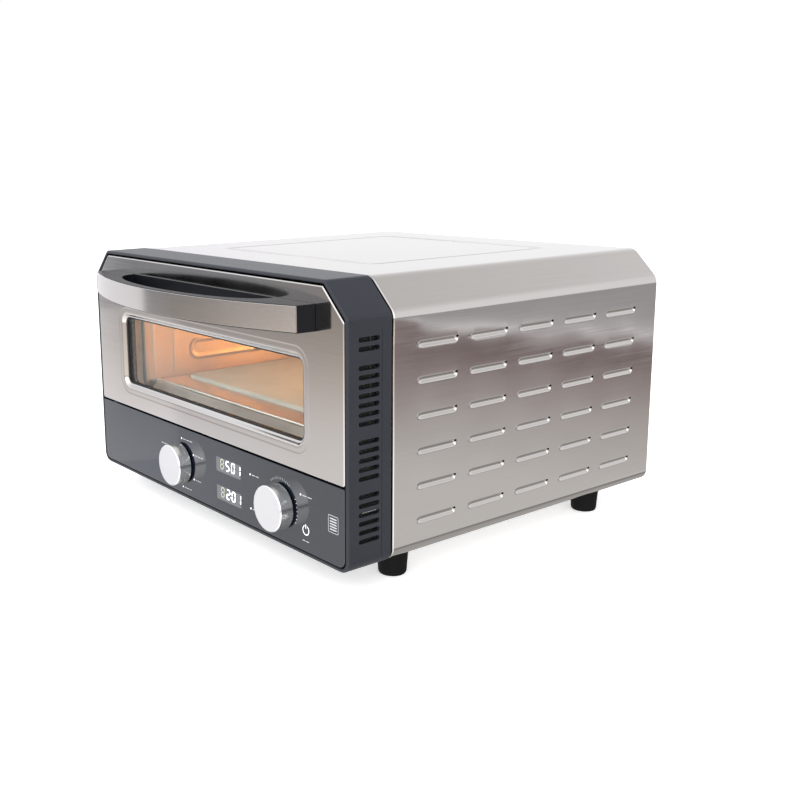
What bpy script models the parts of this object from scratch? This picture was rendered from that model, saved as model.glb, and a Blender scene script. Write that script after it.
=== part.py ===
"""Countertop pizza oven as an assembly of separate parts. Metres, +Z up, the front faces -Y.

All parts hang from one empty, whose axes have x = 0 on the middle plane, y = 0 on the front plane of the
bezel and z = 0 under the bezel. Sizes and places below are in that frame. The world origin is under the
middle of the whole oven, on the surface that it stands on.
"""

import math

import bmesh
import bpy
from mathutils import Vector
from mathutils.geometry import tessellate_polygon

# Driving dimensions
WIDTH = 0.460
HEIGHT = 0.2555
BODY_DEPTH = 0.430
BEZEL_DEPTH = 0.050
CHAMFER = 0.030
BOTTOM_R = 0.012
FOOT_H = 0.024
HANDLE_REACH = 0.0562
GLAND_REACH = 0.0085
FRONT_Y = (HANDLE_REACH - BODY_DEPTH - GLAND_REACH) / 2
GAP = 0.0003
SHEET = 0.0008

# Bezel and the two panels it frames
BEZEL_WALL = 0.0035
BEZEL_EDGE = ((0.0024, 0.0), (0.0007, 0.0007), (0.0, 0.0024))  # rounded front edge: inset, depth
PANEL_HALF = 0.2252
PANEL_BOTTOM = 0.0045
PANEL_TOP = 0.0772
DOOR_HALF = 0.2254
DOOR_BOTTOM = 0.0790
DOOR_TOP = 0.2504
DOOR_CHAMFER = 0.0285
SLOT_PITCH = 0.0081
SLOT_TOP_Z = 0.2064
SLOT_COUNT = 23
SLOT_MISSING = (2, 10, 16)
SLOT_Y = (0.0122, 0.0358)
SLOT_H = 0.0043

# Wrap, with its louvres: rear end of the first column, and the first row from the top
WRAP_INSET, FLANGE_X = 0.0006, 0.1820
LOUVRE_Y, LOUVRE_DY, LOUVRE_COLUMNS = 0.1308, 0.0659, 5
LOUVRE_Z, LOUVRE_DZ, LOUVRE_ROWS = 0.1974, 0.0325, 6
LOUVRE_LEN, LOUVRE_SLIT = 0.040, 0.0016

# Door and hinge
WINDOW_HALF, WINDOW_LOW, WINDOW_HIGH, WINDOW_R = 0.1700, 0.1015, 0.1875, 0.0125
WINDOW_BEVEL, WINDOW_STEP = 0.0045, 0.0036
HINGE_Y, HINGE_Z = 0.0055, 0.0920
HINGE_PIN_R = 0.0020
HANDLE_LOW, HANDLE_HIGH, HANDLE_HALF = 0.2100, 0.2340, 0.1860
HANDLE_RISE = 0.0360
HANDLE_END = 0.0200
HANDLE_SCREW_X, HANDLE_SCREW_Z = 0.1600, 0.2220
FINGER_HALF, FINGER_WALL, FINGER_DEEP = 0.1310, 0.0026, 0.0440
FACE_THICK = 0.0012
SKIN_RETURN = 0.0100
PAN_FRONT, PAN_BACK, COLLAR_BACK = 0.0113, 0.0205, 0.0274
COLLAR_HALF, COLLAR_LOW, COLLAR_HIGH, COLLAR_R = 0.1705, 0.0985, 0.1945, 0.0090
HINGE_ARM_X, HINGE_BRACKET_X, HINGE_PIN_X = (0.2040, 0.2060), (0.2150, 0.2170), (0.2020, 0.2174, 0.2190)
HINGE_NOTCH_X = (0.1900, 0.2236)
SCREW_R = 0.0024

# Knobs
KNOB_X = {"function": -0.0454, "setting": 0.1330}
KNOB_Z = 0.0390
KNOB_R, KNOB_FRONT, KNOB_ROOF, KNOB_BACK = 0.0220, -0.0165, -0.0142, -0.0020
SHAFT_R, SHAFT_HOLE_R, SHAFT_FRONT = 0.0029, 0.0033, -0.0127
WINDOWS = {"temperature": 0.0542, "timer": 0.0246}
WINDOW_X, WINDOW_SIZE = 0.0442, (0.0438, 0.0148)
FASCIA_THICK, CARRIER_BACK = 0.0028, 0.0056
ENCODER_FRONT, ENCODER_BACK, BOARD_FRONT, BOARD_BACK = 0.0100, 0.0177, 0.0182, 0.0198

# Cavity, and the plate round its mouth
FRAME_FRONT, FRAME_BACK = 0.0285, 0.0295
MOUTH_HALF, MOUTH_LOW, MOUTH_HIGH = 0.1650, 0.0960, 0.1990
CAVITY_HALF, CAVITY_LOW, CAVITY_HIGH = 0.1660, 0.0840, 0.2020
CAVITY_FRONT, CAVITY_BACK = 0.0298, 0.3960
STONE_SIZE, STONE_THICK, STONE_TOP, STONE_FRONT = 0.3040, 0.0120, 0.1090, 0.0770
DECK_TOP, DECK_FRONT, APRON_FRONT, APRON_LOW = 0.1048, 0.0400, 0.0312, 0.0962
LAMP_X, LAMP_Z = 0.1150, 0.1620
PROBE_X, PROBE_Z = -0.0500, 0.1780
UPPER_Z, LOWER_Z = 0.1915, 0.0903
ELEMENT_R, ELEMENT_X = 0.0032, 0.1250

# Base, back, feet, cord gland and cooling fan
BASE_HALF, BASE_FRONT, BASE_BACK, BASE_LOW, BASE_HIGH = 0.2150, 0.0520, 0.4240, 0.0017, 0.0029
BASE_SLOT_PITCH, BASE_SLOT_Y = 0.0300, (0.1100, 0.2600)
REAR_INSET, REAR_FRONT, REAR_BACK = 0.0018, 0.4265, 0.4275
REAR_VENT_TOP, REAR_VENT_X, GRILLE_R = 0.2160, (-0.1500, -0.0500, 0.0500), 0.0270
FOOT_R, FOOT_X, FOOT_Y = 0.0150, 0.2020, (0.0770, 0.3580)
GLAND_X, GLAND_Z, GLAND_NECK_R, GLAND_BORE = 0.1500, 0.0350, 0.0060, 0.0035
FAN_X, FAN_Z = -0.0600, 0.0365
FAN_FRONT, FAN_BACK, FAN_HALF, FAN_BORE = 0.4060, 0.4255, 0.0290, 0.0265
FAN_HUB, FAN_BLADES, FAN_TWIST = 0.0110, 7, 32.0

COLOURS = {
    "steel": ((0.62, 0.60, 0.58), 0.30, 1.0),
    "inner_steel": ((0.55, 0.53, 0.50), 0.35, 1.0),
    "zinc_steel": ((0.45, 0.46, 0.47), 0.50, 1.0),
    "charcoal": ((0.060, 0.064, 0.072), 0.42, 0.0),
    "fascia": ((0.070, 0.074, 0.082), 0.25, 0.0),
    "black": ((0.012, 0.012, 0.013), 0.50, 0.0),
    "rubber": ((0.015, 0.015, 0.015), 0.80, 0.0),
    "aluminium": ((0.80, 0.80, 0.81), 0.25, 1.0),
    "glass": ((0.80, 0.85, 0.84), 0.05, 0.0),
    "stone": ((0.72, 0.64, 0.50), 0.90, 0.0),
    "wool": ((0.70, 0.68, 0.60), 0.95, 0.0),
    "element": ((0.16, 0.15, 0.14), 0.50, 1.0),
    "board": ((0.02, 0.10, 0.05), 0.45, 0.0),
    "ceramic": ((0.82, 0.80, 0.76), 0.50, 0.0),
}


# Scene and materials

def clear_scene():
    for obj in list(bpy.data.objects):
        bpy.data.objects.remove(obj, do_unlink=True)


def material(kind):
    found = bpy.data.materials.get(kind)
    if found:
        return found
    colour, roughness, metallic = COLOURS[kind]
    made = bpy.data.materials.new(kind)
    made.use_nodes = True
    shader = made.node_tree.nodes["Principled BSDF"]
    shader.inputs["Base Color"].default_value = (*colour, 1.0)
    shader.inputs["Roughness"].default_value = roughness
    shader.inputs["Metallic"].default_value = metallic
    return made


# Outlines: lists of (u, v) points

def rounded(corners, radii, steps=5):
    """The polygon with its corners rounded. One radius serves all corners, or each has its own."""
    if not isinstance(radii, (list, tuple)):
        radii = [radii] * len(corners)
    points = []
    for i, corner in enumerate(corners):
        here = Vector(corner)
        before = (Vector(corners[i - 1]) - here).normalized()
        after = (Vector(corners[(i + 1) % len(corners)]) - here).normalized()
        radius = radii[i]
        if radius <= 0:
            points.append(here)
            continue
        half = math.acos(max(-1.0, min(1.0, before.dot(after)))) / 2
        centre = here + (before + after).normalized() * (radius / math.sin(half))
        start = here + before * (radius / math.tan(half))
        end = here + after * (radius / math.tan(half))
        turn = math.pi - 2 * half
        a = (start - centre).normalized()
        b = (end - centre).normalized()
        for k in range(steps + 1):
            t = k / steps
            w0 = math.sin((1 - t) * turn) / math.sin(turn)
            w1 = math.sin(t * turn) / math.sin(turn)
            points.append(centre + (a * w0 + b * w1) * radius)
    return [(p.x, p.y) for p in points]


def rect(u0, v0, u1, v1, radius=0.0, steps=5):
    corners = [(u0, v0), (u1, v0), (u1, v1), (u0, v1)]
    return rounded(corners, radius, steps) if radius else corners


def circle(u, v, radius, steps=24):
    turn = 2 * math.pi / steps
    return [(u + radius * math.cos(turn * k), v + radius * math.sin(turn * k)) for k in range(steps)]


def front_shape(half, low, high, chamfer, low_r, high_r=0.003, steps=5):
    """The front outline: straight sides and floor, cut corners at the top."""
    corners = [(-half, low), (half, low), (half, high - chamfer), (half - chamfer, high),
               (chamfer - half, high), (-half, high - chamfer)]
    return rounded(corners, [low_r, low_r, high_r, high_r, high_r, high_r], steps)


def body_shape(inset, low_r=BOTTOM_R, steps=5):
    """The body's outline, moved inwards by inset."""
    chamfer = CHAMFER - inset * (2 - math.sqrt(2))
    return front_shape(WIDTH / 2 - inset, inset, HEIGHT - inset, chamfer, max(low_r - inset, 0.001),
                       0.006 - inset / 2, steps)


# Meshes

def to_xyz(axis, u, v, w):
    """A point on a plane across the axis: (u, v) are the other two axes in X, Y, Z order."""
    return {"x": (w, u, v), "y": (u, w, v), "z": (u, v, w)}[axis]


def ring(bm, outline, axis, w):
    return [bm.verts.new(to_xyz(axis, u, v, w)) for u, v in outline]


def bridge(bm, first, second):
    count = len(first)
    for i in range(count):
        j = (i + 1) % count
        bm.faces.new((first[i], first[j], second[j], second[i]))


def fill(bm, outer, holes=()):
    """Flat faces between an outline and the holes in it."""
    loops = [outer, *holes]
    verts = [v for loop in loops for v in loop]
    for tri in tessellate_polygon([[v.co for v in loop] for loop in loops]):
        bm.faces.new([verts[k] for k in tri])


def finish(name, bm, kind, parent, origin=(0, 0, 0), smooth_angle=35.0):
    """An object from the mesh, with its origin moved to the given point."""
    bmesh.ops.translate(bm, verts=bm.verts, vec=-Vector(origin))
    bmesh.ops.recalc_face_normals(bm, faces=bm.faces)
    mesh = bpy.data.meshes.new(name)
    bm.to_mesh(mesh)
    bm.free()
    obj = bpy.data.objects.new(name, mesh)
    bpy.context.scene.collection.objects.link(obj)
    obj.parent = parent
    obj.location = origin
    if kind:
        mesh.materials.append(material(kind))
    mesh.shade_smooth()
    mesh.set_sharp_from_angle(angle=math.radians(smooth_angle))
    return obj


def plate(name, outline, holes, axis, start, end, kind, parent):
    """A flat outline with holes, extruded along an axis."""
    bm = bmesh.new()
    near = [ring(bm, loop, axis, start) for loop in (outline, *holes)]
    far = [ring(bm, loop, axis, end) for loop in (outline, *holes)]
    fill(bm, near[0], near[1:])
    fill(bm, far[0], far[1:])
    for a, b in zip(near, far):
        bridge(bm, a, b)
    return finish(name, bm, kind, parent)


def box(name, low, high, kind, parent):
    return plate(name, rect(low[0], low[1], high[0], high[1]), [], "z", low[2], high[2], kind, parent)


def stack(name, layers, axis, kind, parent, closed=False, origin=(0, 0, 0)):
    """Equal-length outlines, each at its own place along the axis, joined in turn.

    A closed stack joins the last to the first, which makes a ring. Otherwise both ends are filled.
    """
    bm = bmesh.new()
    rings = [ring(bm, outline, axis, w) for outline, w in layers]
    for a, b in zip(rings, rings[1:]):
        bridge(bm, a, b)
    if closed:
        bridge(bm, rings[-1], rings[0])
    else:
        fill(bm, rings[0])
        fill(bm, rings[-1])
    return finish(name, bm, kind, parent, origin)


def turned(name, profile, axis, centre, kind, parent, steps, origin=(0, 0, 0)):
    """A profile of (radius, place along the axis) turned about the axis through centre."""
    bm = bmesh.new()
    index = "xyz".index(axis)
    across = [centre[i] for i in range(3) if i != index]
    rings = []
    for radius, w in profile:
        if radius == 0:
            rings.append([bm.verts.new(to_xyz(axis, across[0], across[1], w))])
        else:
            rings.append(ring(bm, circle(across[0], across[1], radius, steps), axis, w))
    pairs = list(zip(rings, rings[1:]))
    if profile[0][0] > 0:
        pairs.append((rings[-1], rings[0]))
    for a, b in pairs:
        if len(a) == 1 or len(b) == 1:
            tip, loop = (a[0], b) if len(a) == 1 else (b[0], a)
            for i in range(steps):
                bm.faces.new((tip, loop[i], loop[(i + 1) % steps]))
        else:
            bridge(bm, a, b)
    return finish(name, bm, kind, parent, origin)


def rod(name, points, radius, kind, parent, resolution=2):
    """A round bar along a path of points."""
    curve = bpy.data.curves.new(name, "CURVE")
    curve.dimensions = "3D"
    curve.bevel_depth = radius
    curve.bevel_resolution = resolution
    curve.use_fill_caps = True
    spline = curve.splines.new("POLY")
    spline.points.add(len(points) - 1)
    for target, point in zip(spline.points, points):
        target.co = (*point, 1.0)
    obj = bpy.data.objects.new(name, curve)
    bpy.context.scene.collection.objects.link(obj)
    obj.parent = parent
    curve.materials.append(material(kind))
    return obj


def cut(target, cutter, operation="DIFFERENCE"):
    cutter.hide_render = True
    cutter.display_type = "WIRE"
    boolean = target.modifiers.new(cutter.name, "BOOLEAN")
    boolean.operation = operation
    boolean.solver = "EXACT"
    boolean.object = cutter


def pills(name, parent, spots, axis, start, end, steps):
    """One cutter made of separate round-ended bars. A spot is (u0, u1, v, height)."""
    bm = bmesh.new()
    for u0, u1, v, height in spots:
        outline = rect(u0, v - height / 2, u1, v + height / 2, height * 0.499 if steps else 0, steps)
        near, far = ring(bm, outline, axis, start), ring(bm, outline, axis, end)
        fill(bm, near)
        fill(bm, far)
        bridge(bm, near, far)
    return finish(name, bm, None, parent)


def sides():
    """The two mirrored sides, each with its sign."""
    return (("left", -1), ("right", 1))


# Casing

def slot_rows():
    return [SLOT_TOP_Z - k * SLOT_PITCH for k in range(SLOT_COUNT) if k not in SLOT_MISSING]


def front_bezel(top):
    layers = [(body_shape(inset), depth) for inset, depth in BEZEL_EDGE]
    layers += [(body_shape(0.0), BEZEL_DEPTH), (body_shape(BEZEL_WALL), BEZEL_DEPTH),
               (body_shape(BEZEL_WALL), 0.0)]
    bezel = stack("front_bezel", layers, "y", "charcoal", top, closed=True)
    spots = [(*SLOT_Y, z, SLOT_H) for z in slot_rows()]
    for side, sign in sides():
        start, end = sign * (WIDTH / 2 - 0.010), sign * (WIDTH / 2 + 0.010)
        cut(bezel, pills(f"vent_cutter_{side}", top, spots, "x", start, end, steps=1))


def foot_places():
    for side, sign in sides():
        for place, y in zip(("front", "rear"), FOOT_Y):
            yield f"{place}_{side}", sign * FOOT_X, y


def body_wrap(top):
    """One sheet, open under the body but for a flange along each side."""
    outer = body_shape(WRAP_INSET)
    inner = body_shape(WRAP_INSET + SHEET)
    first = next(i for i, p in enumerate(outer) if p[0] > 0)
    # Both outlines run the same way and have equal counts: start after the floor's gap and go round.
    outer = outer[first:] + outer[:first]
    inner = inner[first:] + inner[:first]
    floor, roof = outer[0][1], inner[0][1]
    loop = [(FLANGE_X, floor), *outer, (-FLANGE_X, floor),
            (-FLANGE_X, roof), *reversed(inner), (FLANGE_X, roof)]
    wrap = plate("body_wrap", loop, [], "y", BEZEL_DEPTH + GAP, BODY_DEPTH, "steel", top)
    slits = []
    for row in range(LOUVRE_ROWS):
        for column in range(LOUVRE_COLUMNS):
            rear = LOUVRE_Y + column * LOUVRE_DY
            slits.append((rear - LOUVRE_LEN, rear, LOUVRE_Z - row * LOUVRE_DZ, LOUVRE_SLIT))
    for side, sign in sides():
        start, end = sign * (WIDTH / 2 - 0.006), sign * (WIDTH / 2 + 0.006)
        cut(wrap, pills(f"louvre_cutter_{side}", top, slits, "x", start, end, steps=0))
    for where, x, y in foot_places():
        cutter = turned(f"screw_cutter_{where}", [(0, -0.01), (SCREW_R, -0.01), (SCREW_R, 0.01), (0, 0.01)],
                        "z", (x, y, 0), None, top, steps=12)
        cut(wrap, cutter)


def base_pan(top):
    slot_half, slot_long = 0.0022, 0.0600
    holes = [circle(x, y, SCREW_R, 12) for _, x, y in foot_places()]
    for k in range(-4, 5):
        x = k * BASE_SLOT_PITCH
        holes += [rect(x - slot_half, y, x + slot_half, y + slot_long) for y in BASE_SLOT_Y]
    outline = rect(-BASE_HALF, BASE_FRONT, BASE_HALF, BASE_BACK, 0.004, 2)
    plate("base_pan", outline, holes, "z", BASE_LOW, BASE_HIGH, "zinc_steel", top)


def rear_panel(top):
    """The back cover, inside the end of the wrap."""
    holes = [circle(GLAND_X, GLAND_Z, GLAND_NECK_R + GAP, 16)]
    grille_pitch, bar_half = 0.0075, 0.0022
    for k in range(-3, 4):
        half = math.sqrt(GRILLE_R ** 2 - (k * grille_pitch) ** 2)
        z = FAN_Z + k * grille_pitch
        holes.append(rect(FAN_X - half, z - bar_half, FAN_X + half, z + bar_half, 0.0021, 1))
    vent_pitch, vent_half, vent_long = 0.0080, 0.0020, 0.0850
    for k in range(6):
        z = REAR_VENT_TOP - k * vent_pitch
        holes += [rect(x, z - vent_half, x + vent_long, z + vent_half) for x in REAR_VENT_X]
    plate("rear_panel", body_shape(REAR_INSET), holes, "y", REAR_FRONT, REAR_BACK, "zinc_steel", top)


def feet(top):
    """Tapered rubber feet, each with a pocket for its screw."""
    for where, x, y in foot_places():
        profile = [(0.0026, GAP), (FOOT_R, GAP), (FOOT_R, -0.0040), (0.0138, -FOOT_H + 0.0015),
                   (0.0124, -FOOT_H), (0.0055, -FOOT_H), (0.0055, -0.0140), (0.0026, -0.0140)]
        turned(f"foot_{where}", profile, "z", (x, y, 0), "rubber", top, steps=20)


def cord_gland(top):
    """The bush for the mains lead: a flange each side of the rear panel."""
    inside, outside, end = REAR_FRONT - GAP, REAR_BACK + GAP, BODY_DEPTH + GLAND_REACH
    profile = [(GLAND_BORE, 0.4180), (0.0085, 0.4180), (0.0085, inside), (GLAND_NECK_R, inside),
               (GLAND_NECK_R, outside), (0.0095, outside), (0.0095, 0.4305), (0.0070, end),
               (GLAND_BORE, end)]
    turned("cord_gland", profile, "y", (GLAND_X, 0, GLAND_Z), "black", top, steps=20)


def front_frame(top):
    """The steel plate between the cavity and the bezel, which the door closes on."""
    outline = front_shape(PANEL_HALF, 0.0812, 0.2500, DOOR_CHAMFER, 0.002, steps=3)
    hole = rect(-MOUTH_HALF, MOUTH_LOW, MOUTH_HALF, MOUTH_HIGH, 0.008)
    plate("front_frame", outline, [hole], "y", FRAME_FRONT, FRAME_BACK, "inner_steel", top)


def cavity_supports(top):
    """A folded rail each side carries the cavity on the base pan."""
    foot, roof, gauge = BASE_HIGH + GAP, 0.0692, 0.0010
    outer, edge = 0.1910, 0.1500
    section = ((outer - gauge, foot), (outer, foot), (outer, roof), (edge, roof), (edge, roof - gauge),
               (outer - gauge, roof - gauge))
    for side, sign in sides():
        loop = [(sign * x, z) for x, z in section]
        plate(f"cavity_support_{side}", loop, [], "y", 0.0750, 0.3850, "zinc_steel", top)


# Cavity

def cavity_liner(top):
    """A steel box, open at the front, with holes in its back for the heaters, lamp and probe."""
    bm = bmesh.new()
    inner = rect(-CAVITY_HALF, CAVITY_LOW, CAVITY_HALF, CAVITY_HIGH, 0.008, 3)
    outer = rect(-CAVITY_HALF - SHEET, CAVITY_LOW - SHEET, CAVITY_HALF + SHEET, CAVITY_HIGH + SHEET,
                 0.0088, 3)
    holes = [circle(sign * ELEMENT_X, z, ELEMENT_R + 0.0006, 16) for z in (UPPER_Z, LOWER_Z)
             for _, sign in sides()]
    holes += [circle(LAMP_X, LAMP_Z, 0.0130, 24), circle(PROBE_X, PROBE_Z, 0.0028, 12)]
    front_in, front_out = ring(bm, inner, "y", CAVITY_FRONT), ring(bm, outer, "y", CAVITY_FRONT)
    back_in, back_out = ring(bm, inner, "y", CAVITY_BACK), ring(bm, outer, "y", CAVITY_BACK + SHEET)
    near = [ring(bm, hole, "y", CAVITY_BACK) for hole in holes]
    far = [ring(bm, hole, "y", CAVITY_BACK + SHEET) for hole in holes]
    bridge(bm, front_in, front_out)
    bridge(bm, front_in, back_in)
    bridge(bm, front_out, back_out)
    fill(bm, back_in, near)
    fill(bm, back_out, far)
    for a, b in zip(near, far):
        bridge(bm, a, b)
    finish("cavity_liner", bm, "inner_steel", top)


def insulation(top):
    """Wool over the cavity's sides and roof, and a slab of it under the floor."""
    clear = 0.0007
    outer, inner = 0.1870, CAVITY_HALF + SHEET + clear
    low, high, roof = CAVITY_LOW, 0.2200, CAVITY_HIGH + SHEET + clear
    loop = [(outer, low), (outer, high), (-outer, high), (-outer, low), (-inner, low), (-inner, roof),
            (inner, roof), (inner, low)]
    plate("insulation_blanket", loop, [], "y", 0.0310, 0.3950, "wool", top)
    box("insulation_floor", (-0.1650, 0.0340, 0.0700), (0.1650, 0.3920, 0.0826), "wool", top)


def stone_tray(top):
    """A sheet deck with a well for the stone and a sloping apron, and the rails it rests on."""
    well = (0.0013, 0.0006)
    half, front, back = STONE_SIZE / 2, STONE_FRONT, STONE_FRONT + STONE_SIZE
    deck, floor = DECK_TOP, STONE_TOP - STONE_THICK - GAP
    rim = rect(-0.1635, DECK_FRONT, 0.1635, 0.3880, 0.004, 3)
    mouth_in = rect(-half - well[1], front - well[1], half + well[1], back + well[1], 0.004, 3)
    mouth_out = rect(-half - well[0], front - well[0], half + well[0], back + well[0], 0.0046, 3)
    bm = bmesh.new()
    rim_top, rim_under = ring(bm, rim, "z", deck), ring(bm, rim, "z", deck - SHEET)
    in_top, in_floor = ring(bm, mouth_in, "z", deck), ring(bm, mouth_in, "z", floor)
    out_top, out_floor = ring(bm, mouth_out, "z", deck - SHEET), ring(bm, mouth_out, "z", floor - SHEET)
    bridge(bm, rim_top, rim_under)
    bridge(bm, in_top, in_floor)
    bridge(bm, out_top, out_floor)
    fill(bm, rim_top, [in_top])
    fill(bm, rim_under, [out_top])
    fill(bm, in_floor)
    fill(bm, out_floor)
    tray = finish("stone_tray", bm, "inner_steel", top)
    inside, above, under = DECK_FRONT + 0.0016, deck - 0.0002, deck - 0.0006
    fold = [(inside, above), (DECK_FRONT, above), (APRON_FRONT, APRON_LOW + 0.0004), (APRON_FRONT, APRON_LOW),
            (APRON_FRONT + 0.0007, APRON_LOW), (DECK_FRONT + 0.0004, under), (inside, under)]
    cut(tray, plate("tray_apron", fold, [], "x", -0.1580, 0.1580, None, top), "UNION")
    for side, sign in sides():
        wall, ledge, foot, shelf = CAVITY_HALF - GAP, 0.1560, 0.0955, DECK_TOP - SHEET - GAP
        gauge = 0.0010
        section = ((wall, foot), (wall, shelf), (ledge, shelf), (ledge, shelf - gauge),
                   (wall - SHEET, shelf - gauge), (wall - SHEET, foot))
        loop = [(sign * x, z) for x, z in section]
        plate(f"tray_rail_{side}", loop, [], "y", 0.0450, 0.3850, "inner_steel", top)


def pizza_stone(top):
    half, edge = STONE_SIZE / 2, 0.0015
    back = STONE_FRONT + STONE_SIZE
    low = STONE_TOP - STONE_THICK
    full = rect(-half, STONE_FRONT, half, back, 0.0060)
    small = rect(edge - half, STONE_FRONT + edge, half - edge, back - edge, 0.0050)
    stack("pizza_stone", [(small, low), (full, low + edge), (full, STONE_TOP - edge), (small, STONE_TOP)],
          "z", "stone", top)


def element_path(z):
    """One bent element: two long outer runs to the back wall and a loop between them."""
    near, far, inner, end, bend = 0.0850, 0.3350, 0.0420, 0.4150, 0.0180
    corners = [(-ELEMENT_X, near), (-inner, near), (-inner, far), (inner, far), (inner, near),
               (ELEMENT_X, near)]
    path = rounded([(-ELEMENT_X, end), *corners, (ELEMENT_X, end)], [0] + [bend] * 6 + [0])
    return [(x, y, z) for x, y in path]


def heaters(top):
    """Both elements, and the strip that carries each: hung from the roof, or standing on the floor."""
    half = 0.1400
    for name, z, wall in (("upper", UPPER_Z, CAVITY_HIGH - GAP), ("lower", LOWER_Z, CAVITY_LOW + GAP)):
        rod(f"{name}_heater", element_path(z), ELEMENT_R, "element", top)
        high = z - ELEMENT_R - GAP
        low = high - SHEET
        near, far = (high, low) if name == "upper" else (low, high)
        loop = [(half, far), (half, wall), (half - SHEET, wall), (half - SHEET, near), (SHEET - half, near),
                (SHEET - half, wall), (-half, wall), (-half, far)]
        plate(f"{name}_heater_bracket", loop, [], "y", 0.2060, 0.2140, "inner_steel", top)


def lamp_and_probe(top):
    at = (LAMP_X, 0, LAMP_Z)
    lens = [(0, 0.3840), (0.0080, 0.3850), (0.0140, 0.3885), (0.0160, 0.3930), (0.0160, CAVITY_BACK - GAP),
            (0.0130, CAVITY_BACK - GAP), (0.0120, 0.3905), (0.0070, 0.3875), (0, 0.3868)]
    turned("lamp_lens", lens, "y", at, "glass", top, steps=24)
    bulb = [(0, 0.3885), (0.0040, 0.3900), (0.0060, 0.3935), (0.0055, 0.3990), (0.0040, 0.4020), (0, 0.4020)]
    turned("lamp_bulb", bulb, "y", at, "glass", top, steps=20)
    socket = [(0, 0.4023), (0.0050, 0.4023), (0.0050, 0.4000), (0.0105, 0.4000), (0.0105, 0.4190),
              (0, 0.4190)]
    turned("lamp_socket", socket, "y", at, "ceramic", top, steps=20)
    probe = [(0, 0.3420), (0.0024, 0.3440), (0.0024, 0.3971), (0.0055, 0.3971), (0.0055, 0.4020),
             (0.0030, 0.4020), (0.0030, 0.4120), (0, 0.4120)]
    turned("temperature_probe", probe, "y", (PROBE_X, 0, PROBE_Z), "inner_steel", top, steps=12)
    cutout = [(0, 0.3971), (0.0080, 0.3971), (0.0080, 0.4040), (0.0060, 0.4075), (0, 0.4075)]
    turned("thermal_cutout", cutout, "y", (0.0200, 0, 0.1500), "black", top, steps=20)


# Controls

def control_panel(top):
    """The fascia, the carrier behind it, and the board with its display modules."""
    shafts = [circle(x, KNOB_Z, SHAFT_HOLE_R + 0.0010, 16) for x in KNOB_X.values()]
    corners = [(-PANEL_HALF, PANEL_BOTTOM), (PANEL_HALF, PANEL_BOTTOM), (PANEL_HALF, PANEL_TOP),
               (-PANEL_HALF, PANEL_TOP)]
    outline = rounded(corners, [0.0085, 0.0085, 0.0010, 0.0010])
    plate("control_fascia", outline, shafts, "y", 0.0, FASCIA_THICK, "fascia", top)
    openings = [circle(x, KNOB_Z, 0.0075, 16) for x in KNOB_X.values()]
    half_x, half_z = WINDOW_SIZE[0] / 2 + 0.001, WINDOW_SIZE[1] / 2 + 0.001
    openings += [rect(WINDOW_X - half_x, z - half_z, WINDOW_X + half_x, z + half_z) for z in WINDOWS.values()]
    plate("panel_carrier", rect(-0.2200, 0.0060, 0.2200, 0.0740, 0.004, 3), openings, "y",
          FASCIA_THICK + GAP, CARRIER_BACK, "black", top)
    plate("control_board", rect(-0.0800, 0.0100, 0.1900, 0.0700, 0.001, 2), [], "y", BOARD_FRONT, BOARD_BACK,
          "board", top)
    for name, z in WINDOWS.items():
        low = (WINDOW_X - WINDOW_SIZE[0] / 2, CARRIER_BACK + 0.0006, z - WINDOW_SIZE[1] / 2)
        high = (WINDOW_X + WINDOW_SIZE[0] / 2, BOARD_FRONT - GAP, z + WINDOW_SIZE[1] / 2)
        box(f"{name}_display", low, high, "black", top)


def knob(name, x, top):
    """A spun aluminium cap on a hub."""
    profile = [(0, KNOB_FRONT), (KNOB_R - 0.0008, KNOB_FRONT), (KNOB_R, KNOB_FRONT + 0.0008),
               (KNOB_R, KNOB_BACK), (KNOB_R - 0.0018, KNOB_BACK), (KNOB_R - 0.0018, KNOB_ROOF),
               (0.0062, KNOB_ROOF), (0.0062, -0.0040),
               (SHAFT_R + GAP, -0.0040), (SHAFT_R + GAP, SHAFT_FRONT - GAP), (0, SHAFT_FRONT - GAP)]
    turned(f"{name}_knob", profile, "y", (x, 0, KNOB_Z), "aluminium", top, steps=40, origin=(x, 0, KNOB_Z))


def controls(top):
    """Two encoders on the board. The right one also works a push switch behind its shaft."""
    shaft_back = {"function": 0.0160, "setting": 0.0142}
    for name, x in KNOB_X.items():
        knob(name, x, top)
        shaft = [(0, SHAFT_FRONT), (SHAFT_R, SHAFT_FRONT), (SHAFT_R, shaft_back[name]), (0, shaft_back[name])]
        turned(f"{name}_shaft", shaft, "y", (x, 0, KNOB_Z), "zinc_steel", top, 20, origin=(x, 0, KNOB_Z))
        half = 0.0072
        outline = rect(x - half, KNOB_Z - half, x + half, KNOB_Z + half, 0.001, 2)
        plate(f"{name}_encoder", outline, [circle(x, KNOB_Z, SHAFT_HOLE_R, 20)], "y", ENCODER_FRONT,
              ENCODER_BACK, "zinc_steel", top)
    x = KNOB_X["setting"]
    plunger = [(0, 0.0145), (SHAFT_R, 0.0145), (SHAFT_R, 0.0166), (0, 0.0166)]
    turned("setting_plunger", plunger, "y", (x, 0, KNOB_Z), "black", top, steps=20, origin=(x, 0, KNOB_Z))


def power_electronics(top):
    """The power board on the base, with a finned heat sink."""
    box("power_board", (0.0650, 0.2900, 0.0085), (0.1750, 0.3900, 0.0101), "board", top)
    fins = heat_sink_outline(0.0750, 0.0105, 7)
    plate("heat_sink", fins, [], "y", 0.3000, 0.3600, "aluminium", top)


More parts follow.
